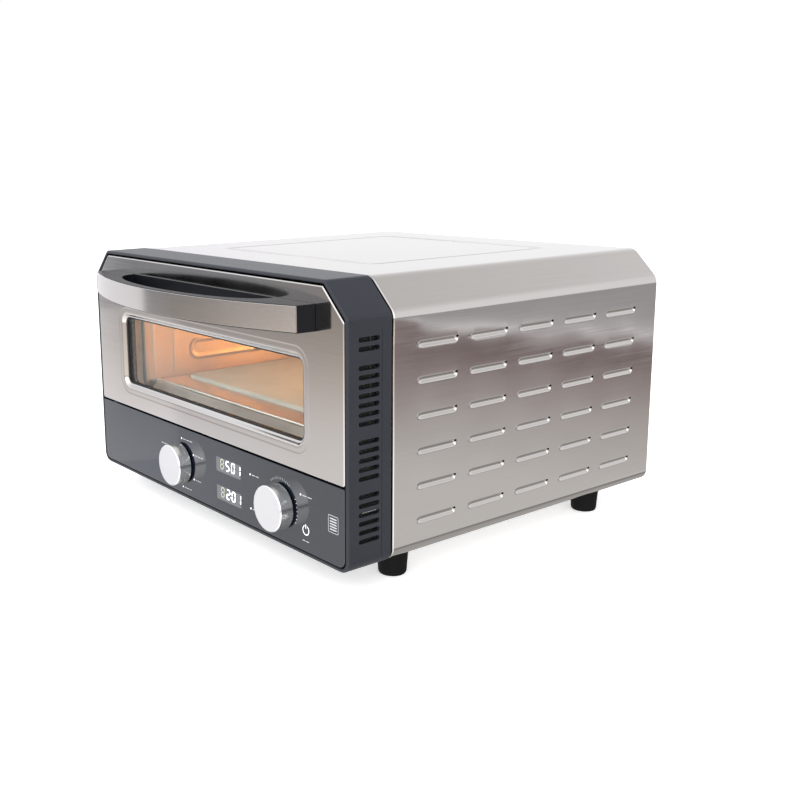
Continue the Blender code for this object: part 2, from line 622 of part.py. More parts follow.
def heat_sink_outline(x0, z0, count):
    """A comb: a flat base with upright fins."""
    pitch, fin, base, height = 0.0080, 0.0016, 0.0035, 0.0250
    end = x0 + (count - 1) * pitch + fin
    points = [(x0, z0), (end, z0)]
    for k in range(count - 1, -1, -1):
        x = x0 + k * pitch
        points += [(x + fin, z0 + height), (x, z0 + height)]
        if k:
            points += [(x, z0 + base), (x - pitch + fin, z0 + base)]
    return points


# Fan

def sector(radius0, radius1, start, turn, steps=8):
    """A ring segment about the fan's axis, from one angle round to another."""
    outer = [(radius1, start + turn * k / steps) for k in range(steps + 1)]
    inner = [(radius0, start + turn * k / steps) for k in range(steps, -1, -1)]
    return [(FAN_X + r * math.cos(a), FAN_Z + r * math.sin(a)) for r, a in outer + inner]


def cooling_fan(top):
    outline = rect(FAN_X - FAN_HALF, FAN_Z - FAN_HALF, FAN_X + FAN_HALF, FAN_Z + FAN_HALF, 0.003, 2)
    frame = plate("fan_frame", outline, [circle(FAN_X, FAN_Z, FAN_BORE, 40)], "y", FAN_FRONT, FAN_BACK,
                  "black", top)
    spokes = [sector(0.0118, FAN_BORE - 0.0006, math.radians(8 + 90 * k), math.radians(74)) for k in range(4)]
    spider = plate("fan_spider", circle(FAN_X, FAN_Z, FAN_BORE + 0.0010, 40), spokes, "y", FAN_FRONT + 0.0005,
                   FAN_FRONT + 0.0025, None, top)
    cut(frame, spider, "UNION")
    at = (FAN_X, 0, FAN_Z)
    front, back, steps = FAN_FRONT + 0.0030, FAN_BACK - 0.0035, 6
    layers = [(fan_section(FAN_TWIST * (k / steps - 0.5)), front + (back - front) * k / steps)
              for k in range(steps + 1)]
    stack("fan_rotor", layers, "y", "black", top, origin=at)


def fan_section(twist):
    """The rotor across its axis, turned by some degrees: a round hub with a thin arm for each blade."""
    points = []
    pitch = 2 * math.pi / FAN_BLADES
    tip, half = FAN_BORE - 0.0012, 0.0007
    for k in range(FAN_BLADES):
        middle = math.radians(twist) + k * pitch
        root, end = half / FAN_HUB, half / tip
        points += [(FAN_HUB, middle - root), (tip, middle - end), (tip, middle + end),
                   (FAN_HUB, middle + root)]
        points += [(FAN_HUB, middle + pitch * t) for t in (0.3, 0.5, 0.7)]
    return [(FAN_X + r * math.cos(a), FAN_Z + r * math.sin(a)) for r, a in points]


# Door

def door_shape(inset):
    """The door's outline, moved inwards by inset."""
    chamfer = DOOR_CHAMFER - inset * (2 - math.sqrt(2))
    return front_shape(DOOR_HALF - inset, DOOR_BOTTOM + inset, DOOR_TOP - inset, chamfer, 0.003, steps=4)


def window_shape(inset):
    return rect(-WINDOW_HALF + inset, WINDOW_LOW + inset, WINDOW_HALF - inset, WINDOW_HIGH - inset,
                WINDOW_R - inset)


def door_skin(door):
    """The outer sheet: folded edges, a window with a pressed rim, holes for the handle screws."""
    bm = bmesh.new()
    gauge = SHEET
    hole = [circle(sign * HANDLE_SCREW_X, HANDLE_SCREW_Z, SCREW_R, 12) for _, sign in sides()]
    edge_out = [ring(bm, door_shape(0.0), "y", SKIN_RETURN), ring(bm, door_shape(0.0), "y", 0.0008),
                ring(bm, door_shape(0.0006), "y", 0.0)]
    edge_in = [ring(bm, door_shape(gauge), "y", SKIN_RETURN), ring(bm, door_shape(gauge), "y", gauge)]
    rim_out = [ring(bm, window_shape(0.0), "y", 0.0), ring(bm, window_shape(WINDOW_BEVEL), "y", WINDOW_STEP)]
    rim_in = [ring(bm, window_shape(-0.0004), "y", gauge),
              ring(bm, window_shape(WINDOW_BEVEL), "y", WINDOW_STEP + gauge)]
    near, far = [ring(bm, h, "y", 0.0) for h in hole], [ring(bm, h, "y", gauge) for h in hole]
    bridge(bm, edge_out[0], edge_out[1])
    bridge(bm, edge_out[1], edge_out[2])
    bridge(bm, edge_out[0], edge_in[0])
    bridge(bm, edge_in[0], edge_in[1])
    bridge(bm, rim_out[0], rim_out[1])
    bridge(bm, rim_in[0], rim_in[1])
    bridge(bm, rim_out[1], rim_in[1])
    fill(bm, edge_out[2], [rim_out[0], *near])
    fill(bm, edge_in[1], [rim_in[0], *far])
    for a, b in zip(near, far):
        bridge(bm, a, b)
    skin = finish("door_skin", bm, "steel", door)
    for side, sign in sides():
        x0, x1 = sorted(sign * x for x in HINGE_NOTCH_X)
        low, high = (x0, 0.0014, DOOR_BOTTOM - 0.002), (x1, SKIN_RETURN + 0.002, DOOR_BOTTOM + 0.003)
        cut(skin, box(f"hinge_notch_{side}", low, high, None, door))


def door_inner(door):
    """The inner pan with a collar round its opening, both panes, the seal between them and the seal
    against the oven."""
    gauge, half, low, high = SHEET, 0.1940, 0.0890, 0.2360
    shape = rect(-half, low, half, high, 0.008, 3)
    small = rect(gauge - half, low + gauge, half - gauge, high - gauge, 0.008 - gauge, 3)
    front, back = PAN_FRONT, PAN_BACK
    collar_in, collar_out = [rect(-COLLAR_HALF - wall, COLLAR_LOW - wall, COLLAR_HALF + wall, COLLAR_HIGH + wall,
                                  COLLAR_R + wall) for wall in (0.0, gauge)]
    bm = bmesh.new()
    out = [ring(bm, shape, "y", front), ring(bm, shape, "y", back)]
    inn = [ring(bm, small, "y", front), ring(bm, small, "y", back - gauge)]
    collar = [ring(bm, collar_in, "y", back - gauge), ring(bm, collar_in, "y", COLLAR_BACK),
              ring(bm, collar_out, "y", COLLAR_BACK), ring(bm, collar_out, "y", back)]
    bridge(bm, out[0], out[1])
    bridge(bm, out[0], inn[0])
    bridge(bm, inn[0], inn[1])
    for a, b in zip(collar, collar[1:]):
        bridge(bm, a, b)
    fill(bm, out[1], [collar[-1]])
    fill(bm, inn[1], [collar[0]])
    finish("door_inner_pan", bm, "inner_steel", door)
    pane = rect(-0.1740, 0.0945, 0.1740, 0.1980, 0.003, 3)
    outer_back, inner_front = 0.0078, 0.0158
    plate("door_glass_outer", pane, [], "y", WINDOW_STEP + gauge + GAP, outer_back, "glass", door)
    plate("door_glass_inner", pane, [], "y", inner_front, inner_front + 0.0030, "glass", door)
    spacer_hole = rect(-0.1648, 0.1048, 0.1648, 0.1823, 0.0073)
    plate("glass_spacer", rect(-0.1735, 0.0950, 0.1735, 0.1975, 0.003, 3), [spacer_hole], "y",
          outer_back + GAP, inner_front - GAP, "black", door)
    seal_in = rect(-0.1718, 0.0972, 0.1718, 0.1998, 0.010, 4)
    seal_out = rect(-0.1785, 0.0905, 0.1785, 0.2060, 0.014, 4)
    seal_out_small = rect(-0.1770, 0.0920, 0.1770, 0.2045, 0.0125, 4)
    front, shoulder, back = PAN_BACK + GAP, 0.0262, FRAME_FRONT - 0.0005
    stack("door_gasket", [(seal_in, front), (seal_out, front), (seal_out, shoulder), (seal_out_small, back),
                          (seal_in, back)], "y", "black", door, closed=True)


def bow(x):
    """How far the handle's front stands from the door at x: a circular arc."""
    radius = (HANDLE_HALF ** 2 + HANDLE_RISE ** 2) / (2 * HANDLE_RISE)
    return HANDLE_END + HANDLE_RISE - (radius - math.sqrt(radius ** 2 - x ** 2))


def handle(door):
    steps = 24
    across = [HANDLE_HALF * (2 * k / steps - 1) for k in range(steps + 1)]
    face_back = FACE_THICK + GAP
    front = [(x, -bow(x) + face_back) for x in across]
    outline = [(HANDLE_HALF + 0.0015, -GAP), (-HANDLE_HALF - 0.0015, -GAP), *front]
    angles = [math.pi * k / steps for k in range(steps + 1)]
    gap = [(FINGER_HALF * math.cos(a), -FINGER_WALL - FINGER_DEEP * math.sin(a) ** 0.9) for a in angles]
    body = plate("handle_body", outline, [gap], "z", HANDLE_LOW, HANDLE_HIGH, "charcoal", door)
    for side, sign in sides():
        bore = [(0, -0.0140), (SCREW_R, -0.0140), (SCREW_R, 0.0100), (0, 0.0100)]
        cutter = turned(f"handle_bore_{side}", bore, "y", (sign * HANDLE_SCREW_X, 0, HANDLE_SCREW_Z), None,
                        door, steps=12)
        cut(body, cutter)
    face = [(x, -bow(x)) for x in across] + [(x, -bow(x) + FACE_THICK) for x in reversed(across)]
    plate("handle_face", face, [], "z", HANDLE_LOW - 0.0005, HANDLE_HIGH + 0.0005, "steel", door)


def coil(x, sign):
    """A torsion spring's turns round the hinge pin."""
    turns, radius, wire, steps = 3, 0.0029, 0.0005, 8
    return [(x + sign * (k / steps) * 2.6 * wire, HINGE_Y + radius * math.cos(2 * math.pi * k / steps),
             HINGE_Z + radius * math.sin(2 * math.pi * k / steps)) for k in range(turns * steps + 1)]


def hinges(top, door):
    """Each side: an arm on the door, a bracket on the front frame, a pin and a spring."""
    pin = (HINGE_Y, HINGE_Z)
    hole = circle(*pin, HINGE_PIN_R + GAP, 16)
    arm = rounded([(0.0019, 0.0885), (0.0090, 0.0885), (0.0100, 0.1000), (0.0100, 0.1560), (0.0019, 0.1560)],
                  [0.0030, 0.0030, 0.001, 0.002, 0.002], 3)
    bracket = rounded([(0.0016, 0.0885), (0.0090, 0.0882), (0.0282, 0.0960), (0.0282, 0.1450),
                       (0.0250, 0.1450),
                       (0.0230, 0.1050), (0.0090, 0.0965), (0.0016, 0.0965)],
                      [0.0030, 0.002, 0.0008, 0.0008, 0.0008, 0.003, 0.002, 0.0030], 3)
    for side, sign in sides():
        arm_x, bracket_x = [[sign * x for x in pair] for pair in (HINGE_ARM_X, HINGE_BRACKET_X)]
        plate(f"door_hinge_arm_{side}", arm, [hole], "x", *arm_x, "zinc_steel", door)
        plate(f"hinge_bracket_{side}", bracket, [hole], "x", *bracket_x, "zinc_steel", top)
        tip, neck, end = [sign * x for x in HINGE_PIN_X]
        profile = [(0, tip), (HINGE_PIN_R, tip), (HINGE_PIN_R, neck), (0.0034, neck), (0.0034, end), (0, end)]
        turned(f"hinge_pin_{side}", profile, "x", (0, *pin), "zinc_steel", top, steps=16)
        rod(f"hinge_spring_{side}", coil(sign * 0.2075, sign), 0.0005, "zinc_steel", top, resolution=1)


# Assembly

def empty(name, parent, location):
    made = bpy.data.objects.new(name, None)
    bpy.context.scene.collection.objects.link(made)
    made.parent = parent
    made.location = location
    return made


def build():
    clear_scene()
    top = empty("oven_origin", None, (0, FRONT_Y, FOOT_H))
    for make in (front_bezel, body_wrap, base_pan, rear_panel, feet, cord_gland, front_frame, cavity_supports,
                 cavity_liner, insulation, stone_tray, pizza_stone, heaters, lamp_and_probe, control_panel,
                 controls, power_electronics, cooling_fan):
        make(top)
    axis = empty("door_axis", top, (0, HINGE_Y, HINGE_Z))
    door = empty("door_frame_origin", axis, (0, -HINGE_Y, -HINGE_Z))
    door_skin(door)
    door_inner(door)
    handle(door)
    hinges(top, door)


build()
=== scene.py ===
"""The countertop pizza oven's looks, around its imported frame. Metres, +Z up, the front faces -Y.

Pieces are built in the bezel's own axes: x = 0 on the middle plane, y = 0 on the front plane of the bezel
and z = 0 under the bezel. Each one is then placed at the bezel of the frame.
"""

import math

import bmesh
import bpy
from mathutils import Matrix, Vector, noise
from mathutils.geometry import tessellate_polygon

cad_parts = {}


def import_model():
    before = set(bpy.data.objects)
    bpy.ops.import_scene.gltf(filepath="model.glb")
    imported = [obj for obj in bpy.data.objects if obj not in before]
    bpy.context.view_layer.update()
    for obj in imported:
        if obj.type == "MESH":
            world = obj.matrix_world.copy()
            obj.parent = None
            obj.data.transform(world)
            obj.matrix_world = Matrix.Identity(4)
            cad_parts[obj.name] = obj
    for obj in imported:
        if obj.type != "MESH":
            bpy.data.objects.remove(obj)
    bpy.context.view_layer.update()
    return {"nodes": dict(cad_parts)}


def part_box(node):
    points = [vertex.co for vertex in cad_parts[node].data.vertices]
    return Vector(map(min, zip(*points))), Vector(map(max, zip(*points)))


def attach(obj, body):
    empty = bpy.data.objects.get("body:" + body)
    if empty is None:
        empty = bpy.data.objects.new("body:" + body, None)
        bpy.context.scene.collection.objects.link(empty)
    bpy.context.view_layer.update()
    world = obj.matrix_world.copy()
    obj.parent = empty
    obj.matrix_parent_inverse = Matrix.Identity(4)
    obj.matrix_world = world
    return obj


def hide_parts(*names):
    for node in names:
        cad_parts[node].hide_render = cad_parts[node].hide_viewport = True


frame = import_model()
NODES = frame["nodes"]

# The frame's own sizes
BEZEL_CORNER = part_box("front_bezel")[0]
ORIGIN = Vector((0.0, BEZEL_CORNER.y, BEZEL_CORNER.z))


def local_box(node):
    """A node's box in the bezel's axes."""
    low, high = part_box(node)
    return low - ORIGIN, high - ORIGIN


BEZEL, WRAP, DOOR, HANDLE, FASCIA, LINER, TRAY, STONE, REAR = (
    local_box(node) for node in ("front_bezel", "body_wrap", "door_skin", "handle_body", "control_fascia",
                                 "cavity_liner", "stone_tray", "pizza_stone", "rear_panel"))
HALF, BEZEL_DEPTH, HEIGHT = BEZEL[1]
SIDES = (("left", -1), ("right", 1))

# The casing's outline and its sheet
CHAMFER, BOTTOM_R, TOP_R, LEAST_R = 0.030, 0.012, 0.006, 0.001
SHEET = 0.0008
# How much shorter a chamfer at 45 degrees gets as its outline moves inwards
CHAMFER_LOSS = 2 - math.sqrt(2)

# Edges that turn by more than this many degrees are sharp
SHARP = 32.0


# Outlines: lists of (u, v) points

def rounded(corners, radii, steps=6):
    """The polygon with its corners rounded. One radius serves all corners, or each has its own."""
    if not isinstance(radii, (list, tuple)):
        radii = [radii] * len(corners)
    points = []
    for i, (corner, radius) in enumerate(zip(corners, radii)):
        here = Vector(corner)
        before = (Vector(corners[i - 1]) - here).normalized()
        after = (Vector(corners[(i + 1) % len(corners)]) - here).normalized()
        half = math.acos(max(-1.0, min(1.0, before.dot(after)))) / 2
        centre = here + (before + after).normalized() * (radius / math.sin(half))
        a = (here + before * (radius / math.tan(half)) - centre).normalized()
        b = (here + after * (radius / math.tan(half)) - centre).normalized()
        turn = math.pi - 2 * half
        for k in range(steps + 1):
            t = k / steps
            w0 = math.sin((1 - t) * turn) / math.sin(turn)
            w1 = math.sin(t * turn) / math.sin(turn)
            points.append(centre + (a * w0 + b * w1) * radius)
    return [(p.x, p.y) for p in points]


def rect(u0, v0, u1, v1, radius=0.0, steps=6, inset=0.0):
    """A rectangle, moved inwards by inset. The radius is that of its corners after the move."""
    u0, v0, u1, v1 = u0 + inset, v0 + inset, u1 - inset, v1 - inset
    corners = [(u0, v0), (u1, v0), (u1, v1), (u0, v1)]
    return rounded(corners, radius, steps) if radius else corners


def circle(u, v, radius, steps=32):
    """A regular polygon in place of a circle."""
    turn = 2 * math.pi / steps
    return [(u + radius * math.cos(turn * k), v + radius * math.sin(turn * k)) for k in range(steps)]


def front_shape(half, low, high, chamfer, low_r, high_r, steps=6):
    """The front outline: straight sides and floor, cut corners at the top."""
    corners = [(-half, low), (half, low), (half, high - chamfer), (half - chamfer, high),
               (chamfer - half, high), (-half, high - chamfer)]
    return rounded(corners, [low_r, low_r, high_r, high_r, high_r, high_r], steps)


def body_shape(inset, high_r=TOP_R, steps=6):
    """The body's outline, moved inwards by inset."""
    return front_shape(HALF - inset, inset, HEIGHT - inset, CHAMFER - inset * CHAMFER_LOSS,
                       max(BOTTOM_R - inset, LEAST_R), max(high_r - inset / 2, LEAST_R), steps)


def quarter(radius, steps=5):
    """(inset, depth) down a quarter round, from the face to the side."""
    return [(radius * (1 - math.sin(a)), radius * (1 - math.cos(a)))
            for a in (math.pi / 2 * k / steps for k in range(steps + 1))]


def smooth(t):
    """An even rise from 0 to 1 that starts and ends flat."""
    t = max(0.0, min(1.0, t))
    return t * t * (3 - 2 * t)


def ramp(t, ease):
    """A straight slope from 0 to 1 with soft ends."""
    t = max(0.0, min(1.0, t))
    steep = 1 / (1 - ease)
    if t < ease:
        return steep * t * t / (2 * ease)
    if t > 1 - ease:
        return 1 - steep * (1 - t) ** 2 / (2 * ease)
    return steep * (t - ease / 2)


def inside(u, v, u0, v0, u1, v1, radius):
    """How far a point lies inside a rectangle with round corners: negative outside."""
    half_u, half_v = (u1 - u0) / 2 - radius, (v1 - v0) / 2 - radius
    du, dv = abs(u - (u0 + u1) / 2) - half_u, abs(v - (v0 + v1) / 2) - half_v
    return radius - math.hypot(max(du, 0.0), max(dv, 0.0)) - min(max(du, dv), 0.0)


def lines(start, end, spacing, fine):
    """Grid lines from start to end, closer together inside the fine stretches (low, high, spacing)."""
    found = {round(start, 6), round(end, 6)}
    at = start
    while at < end:
        found.add(round(at, 6))
        at += spacing
    for low, high, step in fine:
        found = {f for f in found if not low < f < high}
        count = round((high - low) / step)
        found |= {round(low + (high - low) * k / count, 6) for k in range(count + 1)}
    kept = []
    for f in sorted(found):
        if start - 1e-5 <= f <= end + 1e-5 and (not kept or f - kept[-1] > 0.00015):
            kept.append(f)
    return kept


# Meshes

def to_xyz(axis, u, v, w):
    """A point on a plane across the axis: (u, v) are the other two axes in X, Y, Z order."""
    return {"x": (w, u, v), "y": (u, w, v), "z": (u, v, w)}[axis]


def ring(bm, outline, axis, w):
    """The outline's vertices on a plane across the axis."""
    return [bm.verts.new(to_xyz(axis, u, v, w)) for u, v in outline]


def bridge(bm, *rings):
    """Faces between each ring and the next."""
    for first, second in zip(rings, rings[1:]):
        for i in range(len(first)):
            j = (i + 1) % len(first)
            bm.faces.new((first[i], first[j], second[j], second[i]))


def fill(bm, outer, holes=()):
    """Triangles inside the outer ring and outside the holes."""
    loops = [outer, *holes]
    verts = [v for loop in loops for v in loop]
    for tri in tessellate_polygon([[v.co for v in loop] for loop in loops]):
        bm.faces.new([verts[k] for k in tri])


def plate(outline, holes, axis, start, end, bm=None):
    """A flat outline with holes, extruded along an axis."""
    bm = bm or bmesh.new()
    near, far = ([ring(bm, loop, axis, w) for loop in (outline, *holes)] for w in (start, end))
    for loops in (near, far):
        fill(bm, loops[0], loops[1:])
    for a, b in zip(near, far):
        bridge(bm, a, b)
    return bm


def stack(layers, axis, closed=False, bm=None):
    """Equal-length outlines, each at its own place along the axis, joined in turn."""
    bm = bm or bmesh.new()
    rings = [ring(bm, outline, axis, w) for outline, w in layers]
    bridge(bm, *rings)
    if closed:
        bridge(bm, rings[-1], rings[0])
    else:
        fill(bm, rings[0])
        fill(bm, rings[-1])
    return bm


def turned(profile, axis, centre, steps=48):
    """A profile of (radius, place along the axis) turned about the axis through centre."""
    bm = bmesh.new()
    u, v = across(axis, centre)
    rings = []
    for radius, w in profile:
        rings.append([bm.verts.new(to_xyz(axis, u, v, w))] if radius == 0
                     else ring(bm, circle(u, v, radius, steps), axis, w))
    pairs = list(zip(rings, rings[1:]))
    if profile[0][0] > 0 and profile[-1][0] > 0:
        pairs.append((rings[-1], rings[0]))
    for a, b in pairs:
        if len(a) == 1 or len(b) == 1:
            tip, loop = (a[0], b) if len(a) == 1 else (b[0], a)
            for i in range(steps):
                bm.faces.new((tip, loop[i], loop[(i + 1) % steps]))
        else:
            bridge(bm, a, b)
    return bm


def across(axis, at):
    """The point's two coordinates across the axis."""
    return [value for name, value in zip("xyz", at) if name != axis]


# Objects

def add_object(name, data, at=(0.0, 0.0, 0.0)):
    """A new object in the scene."""
    obj = bpy.data.objects.new(name, data)
    bpy.context.scene.collection.objects.link(obj)
    obj.location = at
    return obj


def mesh_object(name, bm, at=ORIGIN, outwards=True):
    """A new object that takes over the mesh, with its faces turned outwards."""
    if outwards:
        bmesh.ops.recalc_face_normals(bm, faces=bm.faces)
    mesh = bpy.data.meshes.new(name)
    bm.to_mesh(mesh)
    bm.free()
    return add_object(name, mesh, at)


def shade(obj, angle):
    """Smooth shading, weighted by face area so that flat faces next to small bevels look flat."""
    obj.data.shade_smooth()
    obj.data.set_sharp_from_angle(angle=math.radians(angle))
    weighted = obj.modifiers.new("even_shading", "WEIGHTED_NORMAL")
    weighted.mode, weighted.weight, weighted.keep_sharp = "FACE_AREA", 50, True


def piece(name, bm, look, body, stands_for=(), angle=SHARP, outwards=True):
    """An object from the mesh, on its body, with its finish and the nodes that it replaces."""
    obj = mesh_object(name, bm, ORIGIN, outwards)
    shade(obj, angle)
    obj.data.materials.append(LOOKS[look])
    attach(obj, body)
    if stands_for:
        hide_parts(*stands_for)
    return obj


def bake(obj, angle=SHARP):
    """Applies the modifiers to the mesh, apart from the shading, which is set again."""
    obj.modifiers.remove(obj.modifiers["even_shading"])
    graph = bpy.context.evaluated_depsgraph_get()
    made = bpy.data.meshes.new_from_object(obj.evaluated_get(graph))
    made.name = obj.name
    obj.modifiers.clear()
    obj.data = made
    shade(obj, angle)


def gauge(obj, thickness, angle=SHARP):
    """Gives a sheet its thickness, on its inner side."""
    thick = obj.modifiers.new("gauge", "SOLIDIFY")
    thick.thickness, thick.offset = thickness, -1.0
    bake(obj, angle)


def cut(target, bm, name):
    """Cuts the mesh out of the piece and leaves nothing else behind."""
    cutter = mesh_object(name, bm)
    bpy.context.view_layer.update()
    boolean = target.modifiers.new(name, "BOOLEAN")
    boolean.operation, boolean.solver, boolean.object = "DIFFERENCE", "EXACT", cutter
    bake(target)
    bpy.data.objects.remove(cutter)


def bevelled(obj, width, segments, angle):
    """Rounds the edges that turn by more than the angle."""
    bevel = obj.modifiers.new("edges", "BEVEL")
    bevel.width, bevel.segments = width, segments
    bevel.limit_method, bevel.angle_limit = "ANGLE", math.radians(angle)
    bevel.miter_outer, bevel.use_clamp_overlap = "MITER_ARC", True
    bake(obj)


# Materials

def connect(tree, node, inputs):
    """Links each of the node's inputs to a socket, or sets it to a constant."""
    for key, value in inputs.items():
        if isinstance(value, bpy.types.NodeSocket):
            tree.links.new(value, node.inputs[key])
        else:
            node.inputs[key].default_value = value
    return node


def add_node(tree, kind, inputs):
    """A new shader node with its inputs."""
    return connect(tree, tree.nodes.new(f"ShaderNode{kind}"), inputs)


def calculate(tree, operation, inputs, kind="Math"):
    """One step of arithmetic, on values or on vectors."""
    node = tree.nodes.new(f"ShaderNode{kind}")
    node.operation = operation
    return connect(tree, node, inputs).outputs[0]


def map_range(tree, value, start, end, low=0.0, high=1.0):
    """The value's range, from start to end, mapped to low to high."""
    ranges = {"Value": value, "From Min": start, "From Max": end, "To Min": low, "To Max": high}
    return add_node(tree, "MapRange", ranges).outputs["Result"]


def blend(tree, factor, first, second):
    """A colour between two colours."""
    node = tree.nodes.new("ShaderNodeMix")
    node.data_type = "RGBA"
    first, second = ((*end, 1.0) if isinstance(end, tuple) else end for end in (first, second))
    return connect(tree, node, {0: factor, 6: first, 7: second}).outputs[2]


class Look:
    """A Principled material and short calls for its texture nodes."""

    def __init__(self, name, colour, roughness, metallic=0.0, **settings):
        self.material = bpy.data.materials.new(name)
        self.material.use_nodes = True
        self.tree = self.material.node_tree
        self.shader = self.tree.nodes["Principled BSDF"]
        self.put(Base_Color=(*colour, 1.0), Roughness=roughness, Metallic=metallic, **settings)
        self.coords = self.tree.nodes.new("ShaderNodeTexCoord").outputs["Object"]

    def put(self, **settings):
        """Constants for the shader's sockets. An underscore stands for a space."""
        for key, value in settings.items():
            self.shader.inputs[key.replace("_", " ")].default_value = value

    def feed(self, socket, value):
        """Links a value to one of the shader's sockets."""
        self.tree.links.new(value, self.shader.inputs[socket])

    def noise(self, scale, stretch=(1, 1, 1), detail=3.0, roughness=0.55):
        """Noise with scale bumps in each metre, finer along an axis by its stretch."""
        place = add_node(self.tree, "Mapping", {"Vector": self.coords, "Scale": stretch}).outputs["Vector"]
        texture = {"Vector": place, "Scale": scale, "Detail": detail, "Roughness": roughness}
        return add_node(self.tree, "TexNoise", texture).outputs["Fac"]

    def spread(self, value, low=0.0, high=1.0, start=0.3, end=0.7):
        """The value's usual range, from start to end, mapped to low to high."""
        return map_range(self.tree, value, start, end, low, high)

    def add(self, first, second):
        """The sum of two values."""
        return calculate(self.tree, "ADD", {0: first, 1: second})

    def tint(self, value, first, second):
        """Base colour between two colours."""
        self.feed("Base Color", blend(self.tree, value, first, second))

    def rough(self, value, low, high):
        """Roughness that follows the value, from low to high."""
        self.feed("Roughness", self.spread(value, low, high))

    def bump(self, value, height, strength):
        """Relief of the given height in metres."""
        relief = {"Height": value, "Distance": height, "Strength": strength}
        self.feed("Normal", add_node(self.tree, "Bump", relief).outputs["Normal"])

    def grain(self, axis, amount, turned_by=0.25):
        """Stretches highlights across the brush lines, which run round the given axis."""
        tangent = self.tree.nodes.new("ShaderNodeTangent")
        tangent.direction_type, tangent.axis = "RADIAL", axis
        self.feed("Tangent", tangent.outputs["Tangent"])
        self.put(Anisotropic=amount, Anisotropic_Rotation=turned_by)


STEEL = (0.60, 0.575, 0.555)
LOOKS = {}


def shaded(colour, share):
    """The colour with its brightness multiplied by the share."""
    return tuple(c * share for c in colour)


def brushed(name, along, roughness):
    """Sheet steel with fine brush lines along one axis, soft blotches and faint handling marks."""
    look = Look(name, STEEL, roughness, 1.0)
    fine = [0.012 if axis == along else 1.0 for axis in "xyz"]
    streaks, bands = look.noise(2600.0, fine, 2.0), look.noise(520.0, fine, 2.0)
    mixed = look.add(look.spread(streaks, 0.0, 0.5), look.spread(bands, 0.0, 0.5))
    look.tint(mixed, shaded(STEEL, 0.97), shaded(STEEL, 1.02))
    look.rough(look.add(look.spread(mixed, 0.0, 0.5, 0.0, 1.0), look.spread(look.noise(9.0), 0.0, 0.5)),
               roughness - 0.02, roughness + 0.03)
    look.bump(streaks, 0.0000008, 0.2)
    look.grain("Z", 0.25)
    return look.material


def moulded(name, colour, roughness, grain=900.0, relief=0.00004, shine=0.35):
    """Moulded plastic with a fine spark-eroded texture."""
    look = Look(name, colour, roughness, Specular_IOR_Level=shine)
    pits = look.noise(grain, detail=2.0)
    look.tint(look.spread(look.noise(14.0, detail=2.0)), shaded(colour, 0.94), shaded(colour, 1.07))
    look.rough(pits, roughness - 0.05, roughness + 0.07)
    look.bump(pits, relief, 0.35)
    return look.material


def plain_steel(name, colour, roughness, spangle=60.0):
    """Unbrushed sheet: mill streaks, faint spangle and uneven gloss."""
    look = Look(name, colour, roughness, 1.0)
    cells = look.noise(spangle, (1, 1, 1), 4.0, 0.6)
    mill = look.noise(700.0, (1.0, 0.03, 1.0), 2.0)
    look.tint(look.spread(cells), shaded(colour, 0.86), shaded(colour, 1.08))
    look.rough(look.add(cells, look.spread(mill, -0.1, 0.1)), roughness - 0.06, roughness + 0.08)
    look.bump(mill, 0.000002, 0.2)
    return look.material


def fascia_look():
    """Glossy dark plastic of the control panel."""
    look = Look("fascia_plastic", (0.008, 0.009, 0.012), 0.05, IOR=1.72)
    look.tint(look.spread(look.noise(8.0)), (0.006, 0.009, 0.015), (0.008, 0.011, 0.018))
    look.rough(look.noise(30.0, detail=4.0), 0.03, 0.07)
    return look.material


def glass_look(name, colour, roughness=0.0):
    """Clear glass with a faint haze."""
    look = Look(name, colour, roughness, IOR=1.20, Transmission_Weight=1.0)
    look.rough(look.noise(45.0, (1, 1, 1), 5.0, 0.7), roughness, roughness + 0.03)
    return look.material


def chrome_look():
    """The knobs' turned sides: almost a mirror, with faint lathe lines."""
    look = Look("turned_chrome", (0.88, 0.89, 0.90), 0.22, 1.0)
    lathe = look.noise(3000.0, (0.02, 1.0, 0.02), 2.0)
    look.rough(lathe, 0.16, 0.28)
    look.bump(lathe, 0.000001, 0.3)
    return look.material


def spun_look(name, centre):
    """Turned aluminium. With a centre (x, z), fine rings run round it."""
    look = Look(name, (0.90, 0.90, 0.92), 0.34, 1.0)
    if centre:
        split = add_node(look.tree, "SeparateXYZ", {"Vector": look.coords})
        offsets = [look.add(split.outputs[axis], -value) for axis, value in zip("XZ", centre)]
        squares = [calculate(look.tree, "MULTIPLY", {0: offset, 1: offset}) for offset in offsets]
        radius = calculate(look.tree, "POWER", {0: look.add(*squares), 1: 0.5})
        rings = look.tree.nodes.new("ShaderNodeTexNoise")
        rings.noise_dimensions = "1D"
        rings.inputs["Scale"].default_value = 3200.0
        look.tree.links.new(radius, rings.inputs["W"])
        look.rough(rings.outputs["Fac"], 0.30, 0.46)
        look.bump(rings.outputs["Fac"], 0.000012, 0.6)
    else:
        look.rough(look.noise(400.0, detail=2.0), 0.20, 0.32)
        look.grain("Y", 0.5, 0.0)
    return look.material


def stone_look():
    """Cordierite: pale, gritty, toasted in patches."""
    look = Look("cordierite", (0.80, 0.75, 0.66), 0.88)
    grit = look.noise(1600.0)
    patches = look.noise(16.0, (1, 1, 1), 5.0, 0.65)
    look.tint(look.add(look.spread(patches, 0.0, 0.7), look.spread(grit, 0.0, 0.3)),
              (0.74, 0.68, 0.58), (0.88, 0.84, 0.76))
    look.bump(grit, 0.00025, 0.7)
    return look.material


